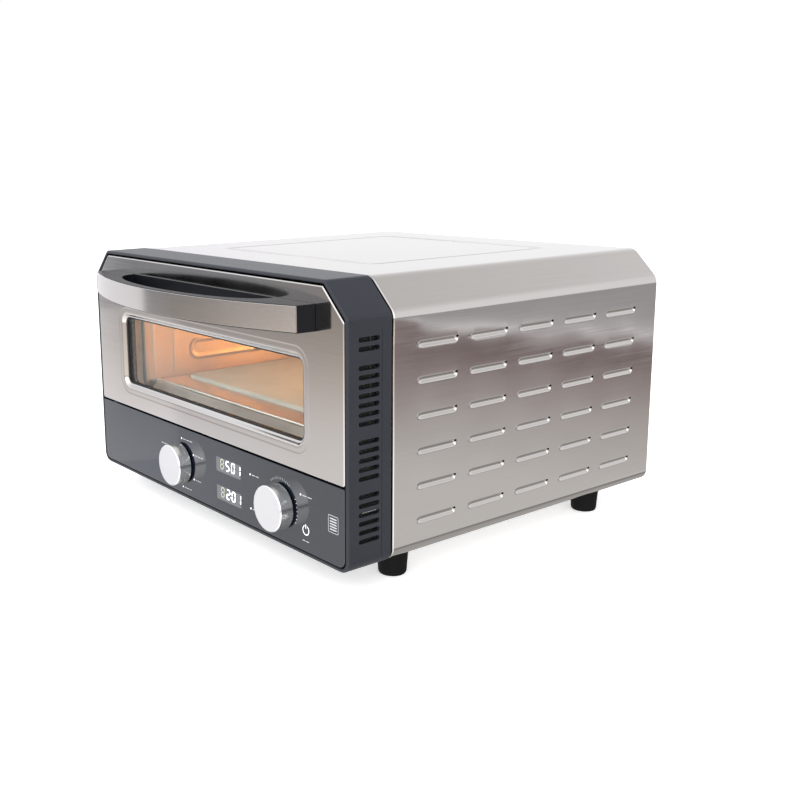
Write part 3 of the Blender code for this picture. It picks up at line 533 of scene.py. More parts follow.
def wool_look():
    """Glass wool, with its fibres in layers."""
    look = Look("glass_wool", (0.72, 0.69, 0.58), 0.95, Sheen_Weight=0.4)
    fibres = look.noise(420.0, (1.0, 0.15, 1.0), 5.0, 0.7)
    look.tint(look.spread(fibres), (0.55, 0.52, 0.42), (0.80, 0.78, 0.68))
    look.bump(fibres, 0.0012, 0.9)
    return look.material


def element_look():
    """The dark oxide of a used heating element."""
    look = Look("element_sheath", (0.12, 0.105, 0.095), 0.46, 0.8)
    oxide = look.noise(180.0, (1, 1, 1), 5.0, 0.65)
    look.tint(look.spread(oxide), (0.05, 0.045, 0.042), (0.24, 0.19, 0.155))
    look.rough(oxide, 0.36, 0.62)
    look.bump(oxide, 0.00005, 0.5)
    return look.material


def board_look():
    """A green circuit board, with faint tracks under its varnish."""
    look = Look("circuit_board", (0.012, 0.085, 0.040), 0.36, Coat_Weight=0.3)
    traces = look.noise(260.0, (1.0, 0.25, 0.25), 2.0)
    look.tint(look.spread(traces, 0.0, 1.0, 0.48, 0.52), (0.010, 0.070, 0.034), (0.020, 0.120, 0.055))
    look.bump(traces, 0.00003, 0.4)
    return look.material


def ink_look(name, colour, glow=0.0):
    """Matt print, or a lit mark where it glows."""
    look = Look(name, colour, 0.45)
    look.rough(look.noise(2000.0, detail=2.0), 0.38, 0.55)
    if glow:
        look.put(Emission_Color=(*colour, 1.0), Emission_Strength=glow)
    return look.material


def display_look():
    """The smoked window over the figures."""
    look = Look("display_window", (0.085, 0.092, 0.102), 0.08, Coat_Weight=0.5)
    look.rough(look.noise(90.0), 0.06, 0.12)
    return look.material


def make_looks():
    """Every finish by its short name."""
    LOOKS.update({
        "wrap": brushed("wrap_steel", "y", 0.075),
        "door": brushed("door_steel", "x", 0.11),
        "handle": brushed("handle_steel", "x", 0.13),
        "inner": plain_steel("inner_steel", (0.52, 0.49, 0.45), 0.34),
        # The warm orange of the cavity, apron and deck steel is painted warm lamp light in their base colours
        "cavity": plain_steel("cavity_steel", (0.66, 0.48, 0.29), 0.42, 14.0),
        "apron": plain_steel("apron_steel", (0.92, 0.80, 0.72), 0.40, 14.0),
        "deck": plain_steel("deck_steel", (0.90, 0.82, 0.72), 0.40, 14.0),
        "zinc": plain_steel("zinc_steel", (0.50, 0.51, 0.52), 0.42, 120.0),
        "charcoal": moulded("charcoal_plastic", (0.0185, 0.0210, 0.0275), 0.36, shine=0.28),
        "grip": moulded("handle_plastic", (0.0055, 0.0062, 0.0080), 0.34, shine=0.18),
        "black": moulded("black_plastic", (0.005, 0.005, 0.0055), 0.46),
        "rubber": moulded("foot_rubber", (0.0045, 0.0045, 0.0050), 0.66, 1500.0, 0.00006, 0.10),
        "ceramic": moulded("lamp_ceramic", (0.80, 0.78, 0.74), 0.40, 300.0, 0.00003),
        "gasket": moulded("door_seal", (0.020, 0.020, 0.021), 0.62, 2500.0, 0.00010),
        "fascia": fascia_look(),
        "glass": glass_look("door_glass", (0.93, 0.95, 0.94)),
        "lens": glass_look("lamp_glass", (0.95, 0.94, 0.90), 0.12),
        "aluminium": spun_look("spun_aluminium", None),
        "knob_side": chrome_look(),
        "stone": stone_look(),
        "wool": wool_look(),
        "element": element_look(),
        "board": board_look(),
        "ink": ink_look("pale_ink", (0.90, 0.91, 0.92), 0.35),
        "faint_ink": ink_look("faint_ink", (0.42, 0.43, 0.45)),
        "digit": ink_look("digit_light", (0.88, 0.95, 1.0), 1.6),
        "digit_dim": ink_look("digit_dim", (0.36, 0.40, 0.27), 0.12),
        "display": display_look(),
        # Near-black matt for the screens behind the side slots: painted shade of the dark inside seen through
        # them
        "slot_shade": ink_look("painted_slot_shade", (0.004, 0.004, 0.004)),
    })
    for name, x in KNOB_X.items():
        LOOKS[f"{name}_face"] = spun_look(f"{name}_spun_face", (x, KNOB_Z))


CAD_LOOKS = {
    "inner": ("front_frame", "cavity_liner", "stone_tray", "tray_rail_left", "tray_rail_right",
              "upper_heater_bracket", "lower_heater_bracket", "temperature_probe", "door_inner_pan"),
    "zinc": ("base_pan", "rear_panel", "cavity_support_left", "cavity_support_right", "function_encoder",
             "setting_encoder", "function_shaft", "setting_shaft", "door_hinge_arm_left",
             "door_hinge_arm_right", "hinge_bracket_left", "hinge_bracket_right", "hinge_pin_left",
             "hinge_pin_right", "hinge_spring_left", "hinge_spring_right"),
    "charcoal": ("front_bezel", "handle_body"),
    "black": ("panel_carrier", "temperature_display", "timer_display", "setting_plunger", "glass_spacer",
              "fan_frame", "fan_rotor", "cord_gland", "thermal_cutout"),
    "rubber": ("foot_front_left", "foot_front_right", "foot_rear_left", "foot_rear_right"),
    "fascia": ("control_fascia",),
    "wrap": ("body_wrap",),
    "door": ("door_skin", "handle_face"),
    "aluminium": ("function_knob", "setting_knob", "heat_sink"),
    "glass": ("door_glass_outer", "door_glass_inner"),
    "lens": ("lamp_lens", "lamp_bulb"),
    "stone": ("pizza_stone",),
    "wool": ("insulation_blanket", "insulation_floor"),
    "element": ("upper_heater", "lower_heater"),
    "board": ("control_board", "power_board"),
    "ceramic": ("lamp_socket",),
    "gasket": ("door_gasket",),
}


def dress_nodes():
    """Every node gets its material."""
    for look, names in CAD_LOOKS.items():
        for name in names:
            slots = NODES[name].data.materials
            slots.clear()
            slots.append(LOOKS[look])


# Casing

GAP_WIDE = 0.0021
WRAP_START, WRAP_END = WRAP[0].y + GAP_WIDE, WRAP[1].y
WRAP_INSET = HALF - WRAP[1].x
WRAP_SHARP = 40.0
BEND_R = 0.015
FLANGE_X = 0.182
HEM_TURN, HEM_WIDE = 0.0006, 0.0016
LOUVRE_Y, LOUVRE_DY, LOUVRE_COLUMNS = 0.1308, 0.0659, 5
LOUVRE_Z, LOUVRE_DZ, LOUVRE_ROWS = 0.1982, 0.0325, 6
LOUVRE_LONG, LOUVRE_HIGH, LOUVRE_DEEP = 0.0500, 0.0070, 0.0019
LOUVRE_FRONT, LOUVRE_REAR, LOUVRE_CURL = 0.0075, 0.0036, 0.0012
RELIEF_Y, RELIEF_Z, RELIEF_R = 0.0012, 0.0014, 0.0013
STAMP_HALF, STAMP_FRONT, STAMP_BACK = 0.127, 0.116, 0.366
STAMP_R, STAMP_RISE, STAMP_SLOPE = 0.012, 0.0009, 0.0036
DENT_Z, DENT_HIGH, DENT_LONG, DENT_DEEP = 0.1950, 0.0300, 0.0500, 0.00045
DENT_START, DENT_GROWTH = 0.10, 0.08
BULGE, LONG_WAVE, SHORT_WAVE = 0.00007, 0.00003, 0.000035
# Mesh spacing: of flat sheet along the oven, across the top, over the stamp's edge and over a louvre
LONG_STEP, TOP_STEP, STAMP_STEP = 0.008, 0.012, 0.0008
LOUVRE_Z_STEP, LOUVRE_FRONT_STEP, LOUVRE_MID_STEP, LOUVRE_REAR_STEP = 0.00045, 0.0010, 0.0045, 0.0005
LOUVRE_EDGE, HEM_STEP = 0.0002, 0.0004

LOUVRE_TOPS = [LOUVRE_Z - row * LOUVRE_DZ for row in range(LOUVRE_ROWS)]
LOUVRE_REARS = [LOUVRE_Y + column * LOUVRE_DY for column in range(LOUVRE_COLUMNS)]


def louvre_depth(y, z):
    """Depth of the pressed louvres: each is a long dent with a steep end, a soft end and a lip below."""
    for top in LOUVRE_TOPS:
        if top - LOUVRE_HIGH < z < top:
            for rear in LOUVRE_REARS:
                if rear - LOUVRE_LONG < y < rear:
                    curl = LOUVRE_CURL * max(0.0, 1 - (rear - y) / LOUVRE_REAR) ** 2
                    height = (z - top + LOUVRE_HIGH / 2 - curl) / (LOUVRE_HIGH / 2)
                    end = max(1 - (rear - y) / LOUVRE_REAR, 1 - (y - rear + LOUVRE_LONG) / LOUVRE_FRONT, 0.0)
                    return LOUVRE_DEEP * ramp(1 - math.hypot(height, end ** 1.5), 0.32)
    return 0.0


def fold_dent(y, z):
    """The shallow hollow that folding leaves under the bend, at the front end of the sheet."""
    along = 1 - smooth((y - WRAP_START) / DENT_LONG)
    return DENT_DEEP * along * (1 - smooth((z - DENT_Z) / DENT_HIGH)) * smooth((z - DENT_START) / DENT_GROWTH)


def sheet_wave(y, z):
    """The slight unevenness that pressing leaves in the sheet, fading towards its edges."""
    wave = LONG_WAVE * math.sin(y * 19 + 0.6) + SHORT_WAVE * math.sin(y * 74 - 1.2) * math.sin(z * 80 + 0.9)
    fade = smooth((z - BOTTOM_R) / 0.06) * smooth((HEIGHT - CHAMFER - TOP_R - z) / 0.05)
    edge_fade = smooth((y - WRAP_START) / 0.05) * smooth((WRAP_END - y) / 0.05)
    return (BULGE + wave) * fade * edge_fade


def subdivided(here, after, zs, margin):
    """Points between two points of an upright edge, at the given heights."""
    low, high = sorted((here[1], after[1]))
    between = [(here[0], z) for z in zs if low + margin < z < high - margin]
    return between if after[1] > here[1] else between[::-1]


def wrap_profile():
    """The wrap across the oven, from the right flange round to the left: points (x, z)."""
    outline = body_shape(WRAP_INSET, BEND_R, 9)
    first = next(i for i, p in enumerate(outline) if p[0] > 0)
    outline = outline[first:] + outline[:first]
    side_z = lines(BOTTOM_R + LEAST_R, HEIGHT - CHAMFER - TOP_R, LONG_STEP,
                   [(z - LOUVRE_HIGH - LOUVRE_EDGE, z + LOUVRE_EDGE, LOUVRE_Z_STEP) for z in LOUVRE_TOPS])
    top_x = lines(-0.190, 0.190, TOP_STEP,
                  [(x - 0.006, x + 0.006, STAMP_STEP) for x in (-STAMP_HALF, STAMP_HALF)])
    points = [(FLANGE_X, outline[0][1])]
    for here, after in zip(outline, outline[1:] + [outline[0]]):
        points.append(here)
        if abs(here[0] - after[0]) < 1e-6:
            points += subdivided(here, after, side_z, 0.0005)
        elif abs(here[1] - after[1]) < 1e-6 and here[1] > HEIGHT / 2:
            points += [(x, here[1]) for x in reversed(top_x)]
    points.append((-FLANGE_X, outline[0][1]))
    return points


def on_side(x):
    """Whether a point of the wrap lies on one of its flat sides."""
    return abs(abs(x) - (HALF - WRAP_INSET)) <= 1e-5


def wrap_offset(point, y):
    """How far the sheet lies inside its plane."""
    x, z = point
    hem = HEM_TURN * (1 - smooth((y - WRAP_START) / HEM_WIDE))
    if abs(z - (HEIGHT - WRAP_INSET)) < 1e-5:
        edge = inside(x, y, -STAMP_HALF, STAMP_FRONT, STAMP_HALF, STAMP_BACK, STAMP_R)
        line = smooth((edge + STAMP_SLOPE) / STAMP_SLOPE) * smooth((STAMP_SLOPE - edge) / STAMP_SLOPE)
        return STAMP_RISE * line + hem
    if not on_side(x):
        return hem
    return hem + sheet_wave(y, z) + fold_dent(y, z) + louvre_depth(y, z)


def in_relief(here, after, y):
    """Whether a cell lies in the small round hole that ends each slit."""
    if not on_side(here[0]) or abs(after[0] - here[0]) > 1e-5:
        return False
    z = (here[1] + after[1]) / 2
    return any(math.hypot(y - rear + RELIEF_Y, z - top + RELIEF_Z) < RELIEF_R
               for top in LOUVRE_TOPS for rear in LOUVRE_REARS)


def wrap():
    """The folded sheet with its louvres, stamped square and hem."""
    points = wrap_profile()
    columns = [(WRAP_START, WRAP_START + HEM_WIDE, HEM_STEP)]
    for rear in LOUVRE_REARS:
        front_end, rear_start = rear - LOUVRE_LONG + 0.0080, rear - 0.0050
        columns += [(rear - LOUVRE_LONG - LOUVRE_EDGE, front_end, LOUVRE_FRONT_STEP),
                    (front_end, rear_start, LOUVRE_MID_STEP),
                    (rear_start, rear + LOUVRE_EDGE, LOUVRE_REAR_STEP)]
    ys = lines(WRAP_START, WRAP_END, LONG_STEP, columns)
    bm = bmesh.new()
    grid = []
    for i, point in enumerate(points):
        before, after = points[max(i - 1, 0)], points[min(i + 1, len(points) - 1)]
        along = Vector((after[0] - before[0], after[1] - before[1])).normalized()
        normal = Vector((along.y, -along.x))
        places = [(Vector(point) - normal * wrap_offset(point, y), y) for y in ys]
        grid.append([bm.verts.new((place.x, y, place.y)) for place, y in places])
    for i in range(len(points) - 1):
        for j in range(len(ys) - 1):
            if not in_relief(points[i], points[i + 1], (ys[j] + ys[j + 1]) / 2):
                bm.faces.new((grid[i][j], grid[i][j + 1], grid[i + 1][j + 1], grid[i + 1][j]))
    obj = piece("wrap_sheet", bm, "wrap", "oven", ("body_wrap",), WRAP_SHARP)
    gauge(obj, SHEET, WRAP_SHARP)


BEZEL_R, BEZEL_WALL, BEZEL_STEP, BEZEL_SOFT = 0.0024, 0.0035, 0.0030, 0.0006
SLOT_TOP_Z, SLOT_PITCH, SLOT_COUNT, SLOT_MISSING = 0.2064, 0.0081, 23, (2, 10, 16)
SLOT_FRONT, SLOT_BACK, SLOT_HIGH = 0.0122, 0.0358, 0.0043
GROOVE_FRONT, GROOVE_BACK, GROOVE_LOW, GROOVE_HIGH, GROOVE_DEEP = 0.0384, 0.0388, 0.0080, 0.2140, 0.0004
SCREEN_X = HALF - BEZEL_WALL - 0.0006
SCREEN_LOW, SCREEN_HIGH, SCREEN_FRONT, SCREEN_BACK = 0.0150, 0.2150, 0.0110, 0.0370
SCREEN_PITCH, RIB_WIDE, POST_THICK, BAR_THICK = 0.0020, 0.0008, 0.0004, 0.0003


def screen(side, sign):
    """The insect screen behind each row of slots, in near-black painted shade: crossed ribs that leave small
    square holes.
    """
    bm = bmesh.new()
    for k in range(int((SCREEN_BACK - SCREEN_FRONT) / SCREEN_PITCH) + 1):
        y = SCREEN_FRONT + k * SCREEN_PITCH
        plate(rect(y, SCREEN_LOW, y + RIB_WIDE, SCREEN_HIGH), [], "x", sign * SCREEN_X,
              sign * (SCREEN_X + POST_THICK), bm)
    for k in range(int((SCREEN_HIGH - SCREEN_LOW) / SCREEN_PITCH) + 1):
        z = SCREEN_LOW + k * SCREEN_PITCH
        plate(rect(SCREEN_FRONT, z, SCREEN_BACK, z + RIB_WIDE), [], "x", sign * (SCREEN_X - BAR_THICK),
              sign * SCREEN_X, bm)
    piece(f"vent_screen_{side}", bm, "slot_shade", "oven")


def bezel():
    """The moulded front frame: round outer edge, a step towards the wrap, and vent slots in its sides."""
    step_y = BEZEL_DEPTH + GAP_WIDE
    layers = [*quarter(BEZEL_R), (0.0, BEZEL_DEPTH - BEZEL_SOFT), (BEZEL_SOFT, BEZEL_DEPTH),
              (BEZEL_STEP, BEZEL_DEPTH), (BEZEL_STEP, step_y), (BEZEL_WALL, step_y), (BEZEL_WALL, 0.0008),
              (BEZEL_WALL - BEZEL_SOFT, 0.0)]
    bm = stack([(body_shape(inset), depth) for inset, depth in layers], "y", closed=True)
    obj = piece("bezel_moulding", bm, "charcoal", "oven", ("front_bezel",))
    for side, sign in SIDES:
        bm = bmesh.new()
        for z in (SLOT_TOP_Z - k * SLOT_PITCH for k in range(SLOT_COUNT) if k not in SLOT_MISSING):
            outline = rect(SLOT_FRONT, z - SLOT_HIGH / 2, SLOT_BACK, z + SLOT_HIGH / 2, SLOT_HIGH * 0.499)
            plate(outline, [], "x", sign * (HALF - 0.010), sign * (HALF + 0.010), bm)
        cut(obj, bm, f"slots_{side}")
        groove = rect(GROOVE_FRONT, GROOVE_LOW, GROOVE_BACK, GROOVE_HIGH)
        cut(obj, plate(groove, [], "x", sign * (HALF - GROOVE_DEEP), sign * (HALF + 0.002)), f"groove_{side}")
        screen(side, sign)


# Door

DOOR_LOW, DOOR_HIGH, DOOR_CHAMFER, DOOR_R = DOOR[0].z, DOOR[1].z, 0.0285, 0.0032
DOOR_HALF, DOOR_BACK = DOOR[1].x, DOOR[1].y
EDGE_R = 0.0014
WINDOW_HALF, WINDOW_LOW, WINDOW_HIGH, WINDOW_R = 0.1700, 0.1015, 0.1875, 0.0125
RIM_WIDE, RIM_DEEP = 0.0045, 0.0036
# The crease round the window: (inset, depth)
CREASE = ((-0.0072, 0.0), (-0.0066, 0.00003), (-0.0060, 0.00008), (-0.0054, 0.00010), (-0.0030, 0.00012))
SLOPE_START, SLOPE_DEEP = -0.0006, 0.00012
NOTCH_IN, NOTCH_OUT, NOTCH_FRONT, NOTCH_HIGH = 0.190, 0.2236, 0.0018, 0.0022
# The seal's section behind the rim: (inset, depth) from the rim's inner edge
SEAL = ((-0.0002, SHEET), (0.0012, 0.0004), (0.0016, 0.0009), (0.0016, 0.00105), (-0.0002, 0.00105))
RETURN_HALF, RETURN_FRONT, RETURN_BACK, RETURN_LOW, RETURN_HIGH = 0.2060, 0.0030, 0.0270, 0.0764, 0.0771


def door_outline(inset):
    """The door's outline, moved inwards."""
    return front_shape(DOOR_HALF - inset, DOOR_LOW + inset, DOOR_HIGH - inset,
                       DOOR_CHAMFER - inset * CHAMFER_LOSS, DOOR_R - inset / 2, DOOR_R - inset / 2, 5)


def window_outline(inset):
    """The window's outline, moved inwards."""
    return rect(-WINDOW_HALF, WINDOW_LOW, WINDOW_HALF, WINDOW_HIGH, WINDOW_R - inset, 8, inset)


def rim_layers(steps=8):
    """The pressed rim from the face into the window: (inset, depth)."""
    wide, deep = RIM_WIDE - SLOPE_START, RIM_DEEP - SLOPE_DEEP
    return [*CREASE, *((SLOPE_START + wide * k / steps, SLOPE_DEEP + deep * ramp(k / steps, 0.3))
                       for k in range(steps + 1))]


def door_front():
    """The door's front sheet with its pressed window rim, and notches for the hinge arms."""
    bm = bmesh.new()
    edge = [ring(bm, door_outline(inset), "y", depth)
            for inset, depth in (*quarter(EDGE_R), (0.0, DOOR_BACK))]
    rim = [ring(bm, window_outline(inset), "y", depth) for inset, depth in rim_layers()]
    fill(bm, edge[0], [rim[0]])
    bridge(bm, *edge)
    bridge(bm, *rim)
    back_edge = [ring(bm, door_outline(SHEET), "y", depth) for depth in (DOOR_BACK, SHEET * 1.6)]
    back_rim = [ring(bm, window_outline(inset), "y", depth + SHEET)
                for inset, depth in ((-0.0022, 0.0001), (RIM_WIDE, RIM_DEEP))]
    bridge(bm, edge[-1], *back_edge)
    fill(bm, back_edge[1], [back_rim[0]])
    bridge(bm, *back_rim, rim[-1])
    obj = piece("door_front_sheet", bm, "door", "door", ("door_skin",))
    for side, sign in SIDES:
        x0, x1 = sorted((sign * NOTCH_IN, sign * NOTCH_OUT))
        notch = plate(rect(x0, NOTCH_FRONT, x1, DOOR_BACK + 0.002, 0.001, 2), [], "z", DOOR_LOW - 0.002,
                      DOOR_LOW + NOTCH_HIGH)
        cut(obj, notch, f"notch_{side}")


def window_seal():
    """The dark line of seal between the pressed rim and the pane."""
    layers = [(window_outline(RIM_WIDE + inset), RIM_DEEP + depth) for inset, depth in SEAL]
    piece("window_seal", stack(layers, "y", closed=True), "gasket", "door")


def seam_lip():
    """The fascia's upper return, dark in the gap under the door."""
    outline = rect(-RETURN_HALF, RETURN_FRONT, RETURN_HALF, RETURN_BACK)
    piece("fascia_return", plate(outline, [], "z", RETURN_LOW, RETURN_HIGH), "black", "oven")


HANDLE_HALF, HANDLE_RISE, HANDLE_END, HANDLE_SPREAD = 0.1860, 0.0360, 0.0200, 0.0015
HANDLE_LOW, HANDLE_HIGH = HANDLE[0].z, HANDLE[1].z
HANDLE_STEPS = 72
FINGER_HALF, FINGER_START, FINGER_REACH = 0.1310, 0.0026, 0.0440
COVER_LOW, COVER_HIGH, COVER_THICK, COVER_SOFT = HANDLE_LOW + 0.0009, HANDLE_HIGH - 0.0004, 0.0012, 0.0003
GAP = 0.0003


def bow(x):
    """How far the handle's front stands from the door at x: a circular arc."""
    radius = (HANDLE_HALF ** 2 + HANDLE_RISE ** 2) / (2 * HANDLE_RISE)
    return HANDLE_END + HANDLE_RISE - (radius - math.sqrt(radius ** 2 - x ** 2))


def handle():
    """The bowed grip with its finger gap, and the steel plate on its front."""
    xs = [HANDLE_HALF * (2 * k / HANDLE_STEPS - 1) for k in range(HANDLE_STEPS + 1)]
    wide, back = HANDLE_HALF + HANDLE_SPREAD, COVER_THICK + GAP
    outline = [(wide, -GAP), (-wide, -GAP), *((x, back - bow(x)) for x in xs)]
    finger_gap = [(FINGER_HALF * math.cos(a), -FINGER_START - FINGER_REACH * math.sin(a) ** 0.9)
                  for a in (math.pi * k / HANDLE_STEPS for k in range(HANDLE_STEPS + 1))]
    body = piece("handle_grip", plate(outline, [finger_gap], "z", HANDLE_LOW, HANDLE_HIGH), "grip", "door",
                 ("handle_body",))
    bevelled(body, 0.0010, 3, 30.0)
    bm = bmesh.new()
    low, high, thick, soft = COVER_LOW, COVER_HIGH, COVER_THICK, COVER_SOFT
    section = [(0.0, low + soft), (0.0, high - soft), (soft, high), (thick - soft, high),
               (thick, high - soft), (thick, low + soft), (thick - soft, low), (soft, low)]
    loops = [[bm.verts.new((x, depth - bow(x), z)) for depth, z in section] for x in xs]
    bridge(bm, *loops)
    bm.faces.new(loops[0])
    bm.faces.new(loops[-1])
    piece("handle_cover", bm, "handle", "door", ("handle_face",), 30.0)


# Controls

KNOB_X = {"function": -0.0454, "setting": 0.1330}
KNOB_Z, KNOB_R = 0.0390, 0.0220
KNOB_FRONT, KNOB_BACK, KNOB_INNER = -0.0165, -0.0020, -0.0142
SKIRT_FRONT, SKIRT_BACK, SKIRT_BORE = -0.0138, KNOB_BACK + 0.0004, 0.0066
MARK = 0.00006


def knob(name):
    """A spun cap with a diamond-cut rim, and a dark skirt under it."""
    x, body = KNOB_X[name], f"{name}_dial"
    cap = [(0, KNOB_FRONT + 0.00035), (0.0030, KNOB_FRONT + 0.00030), (KNOB_R - 0.0016, KNOB_FRONT + 0.00010),
           (KNOB_R - 0.0013, KNOB_FRONT), (KNOB_R - 0.0009, KNOB_FRONT),
           (KNOB_R - 0.0001, KNOB_FRONT + 0.0008), (KNOB_R, KNOB_FRONT + 0.0012), (KNOB_R, KNOB_BACK - 0.0006),
           (KNOB_R - 0.0006, KNOB_BACK), (KNOB_R - 0.0018, KNOB_BACK), (KNOB_R - 0.0018, KNOB_INNER),
           (0, KNOB_INNER)]
    obj = piece(f"{name}_dial_cap", turned(cap, "y", (x, 0, KNOB_Z), 96), f"{name}_face", body,
                (f"{name}_knob",), 25.0)
    obj.data.materials.append(LOOKS["knob_side"])
    for face in obj.data.polygons:
        from_axis = math.hypot(face.center.x - x, face.center.z - KNOB_Z)
        face.material_index = 1 if from_axis > KNOB_R - 0.0010 else 0
    skirt = [(0.0080, SKIRT_BACK), (KNOB_R - 0.0024, SKIRT_BACK), (KNOB_R - 0.0020, KNOB_BACK),
             (KNOB_R - 0.0020, SKIRT_FRONT), (SKIRT_BORE, SKIRT_FRONT), (SKIRT_BORE, KNOB_BACK)]
    piece(f"{name}_dial_skirt", turned(skirt, "y", (x, 0, KNOB_Z), 64), "black", body)


FASCIA_HALF, FASCIA_LOW, FASCIA_HIGH, FASCIA_BACK = FASCIA[1].x, FASCIA[0].z, FASCIA[1].z, FASCIA[1].y
FASCIA_R, FASCIA_TOP_R, FASCIA_EDGE_R = 0.0085, 0.0016, 0.0009
SHAFT_HOLE_R = 0.0044


def fascia_outline(inset):
    """The control panel's outline, moved inwards."""
    corners = rect(-FASCIA_HALF, FASCIA_LOW, FASCIA_HALF, FASCIA_HIGH, inset=inset)
    return rounded(corners, [r - inset for r in (FASCIA_R, FASCIA_R, FASCIA_TOP_R, FASCIA_TOP_R)], 8)


def fascia():
    """The control panel, with a hole for each knob's shaft."""
    shafts = [circle(x, KNOB_Z, SHAFT_HOLE_R) for x in KNOB_X.values()]
    bm = bmesh.new()
    edge = [ring(bm, fascia_outline(inset), "y", depth)
            for inset, depth in (*quarter(FASCIA_EDGE_R, 4), (0.0, FASCIA_BACK))]
    near, far = ([ring(bm, loop, "y", depth) for loop in shafts] for depth in (0.0, FASCIA_BACK))
    fill(bm, edge[0], near)
    fill(bm, edge[-1], far)
    bridge(bm, *edge)
    for a, b in zip(near, far):
        bridge(bm, a, b)
    piece("fascia_panel", bm, "fascia", "oven", ("control_fascia",))


WINDOW_X, WINDOW_WIDE, WINDOW_TALL = 0.0442, 0.0438, 0.0148
WINDOW_Z = {"temperature": 0.0542, "timer": 0.0246}
WINDOW_TEXT = {"temperature": "8501", "timer": "8201"}
DIGIT_HIGH, DIGIT_LIFT, DIGIT_SLOPE = WINDOW_TALL * 0.66, 0.0012, 0.06
DIGIT_FIRST, DIGIT_PITCH = WINDOW_X - WINDOW_WIDE * 0.255, WINDOW_WIDE * 0.225
DOT_R, CAPTION_HIGH, CAPTION_GAP = 0.0010, 0.0008, 0.0030
# Round the left dial: (angle in degrees from +X, length of the caption)
DIAL_MARK_R = 0.0268
DIAL_MARKS = ((90, 0.020), (30, 0.017), (-30, 0.011), (-90, 0.015), (150, 0.017), (210, 0.014))
# Beside the displays and the right dial: (x, z, length of the caption)
SIDE_MARKS = ((0.0828, 0.0569, 0.0130), (0.0828, 0.0223, 0.0110), (0.1632, 0.0575, 0.0150))
SIDE_GAP = 0.0028
POWER_X, POWER_Z, POWER_R, POWER_LINE = 0.1705, 0.0253, 0.0044, 0.0008
SCALE_R, SCALE_TICKS, SCALE_DOTS = 0.0248, range(60, 130, 6), range(-26, 34, 9)
TICK_LONG, TICK_HALF, SCALE_DOT_R = 0.0024, 0.0002, 0.0004
PLATE_MARK, PLATE_LINE, PLATE_R = (0.2030, 0.0340, 0.2170, 0.0500), 0.0005, 0.0016
PLATE_BARS, PLATE_BAR_HIGH, PLATE_PITCH = 5, 0.0012, 0.0025


def mark(bm, outline, holes=(), height=MARK):
    """A printed shape on the control panel."""
    plate(outline, holes, "y", -height, 0.0, bm)


def on_circle(u, v, radius, angle):
    """The point of a circle at an angle in degrees from +X."""
    return u + radius * math.cos(math.radians(angle)), v + radius * math.sin(math.radians(angle))


def arc_mark(bm, u, v, radius, start, end, thick, steps):
    """A printed arc, angles in degrees from +X."""
    angles = [start + (end - start) * k / steps for k in range(steps + 1)]
    outer, inner = ([on_circle(u, v, radius + side * thick / 2, a) for a in angles] for side in (1, -1))
    mark(bm, outer + inner[::-1])


def bar_mark(bm, x0, x1, z, high):
    """A printed bar with round ends."""
    mark(bm, rect(x0, z - high / 2, x1, z + high / 2, high * 0.45, 3))


def bars(bm, start, length, z, count):
    """A short row of bars, where a caption stands."""
    share = length / count
    for k in range(count):
        bar_mark(bm, start + k * share, start + (k + 0.80) * share, z, CAPTION_HIGH)


def printed_marks():
    """Dots and bars round the dials, a scale on the right one, the power symbol and a plain frame."""
    bright, faint = bmesh.new(), bmesh.new()
    for angle, length in DIAL_MARKS:
        u, v = on_circle(KNOB_X["function"], KNOB_Z, DIAL_MARK_R, angle)
        mark(bright, circle(u, v, DOT_R, 14))
        rightwards = abs(angle) <= 90
        bars(faint, u + CAPTION_GAP if rightwards else u - CAPTION_GAP - length, length, v, 3)
    for u, v, length in SIDE_MARKS:
        mark(bright, circle(u, v, DOT_R, 14))
        bars(faint, u + SIDE_GAP, length, v, 2)
    arc_mark(bright, POWER_X, POWER_Z, POWER_R, 115, 425, POWER_LINE, 40)
    mark(bright, rect(POWER_X - POWER_LINE / 2, POWER_Z + 0.0014, POWER_X + POWER_LINE / 2, POWER_Z + 0.0058,
                      0.0003, 3))
    bars(faint, POWER_X - 0.0052, 0.0110, POWER_Z - 0.0105, 2)
    x = KNOB_X["setting"]
    near, far, half = SCALE_R, SCALE_R + TICK_LONG, TICK_HALF
    for angle in SCALE_TICKS:
        c, s = on_circle(0, 0, 1, angle)
        mark(faint, [(x + r * c - w * s, KNOB_Z + r * s + w * c)
                     for r, w in ((near, half), (near, -half), (far, -half), (far, half))])
    for angle in SCALE_DOTS:
        mark(bright, circle(*on_circle(x, KNOB_Z, SCALE_R, angle), SCALE_DOT_R, 8))
    u0, v0, u1 = PLATE_MARK[:3]
    mark(faint, rect(*PLATE_MARK, PLATE_R, 4), [rect(*PLATE_MARK, PLATE_R - 0.0004, 4, PLATE_LINE)])
    for k in range(PLATE_BARS):
        bar_mark(faint, u0 + 0.0022, u1 - 0.0022, v0 + 0.0030 + k * PLATE_PITCH, PLATE_BAR_HIGH)
    piece("printed_marks", bright, "ink", "oven")
    piece("printed_captions", faint, "faint_ink", "oven")


# Bars lit in each figure: top, upper left, upper right, middle, lower left, lower right, bottom
FIGURES = {"0": "1110111", "1": "0010010", "2": "1011101", "5": "1101011", "8": "1111111"}
# Each bar's way, its side and its height in the figure
FIGURE_BARS = (("h", 0, 1.0), ("v", -1, 0.75), ("v", 1, 0.75), ("h", 0, 0.5), ("v", -1, 0.25), ("v", 1, 0.25),
               ("h", 0, 0.0))


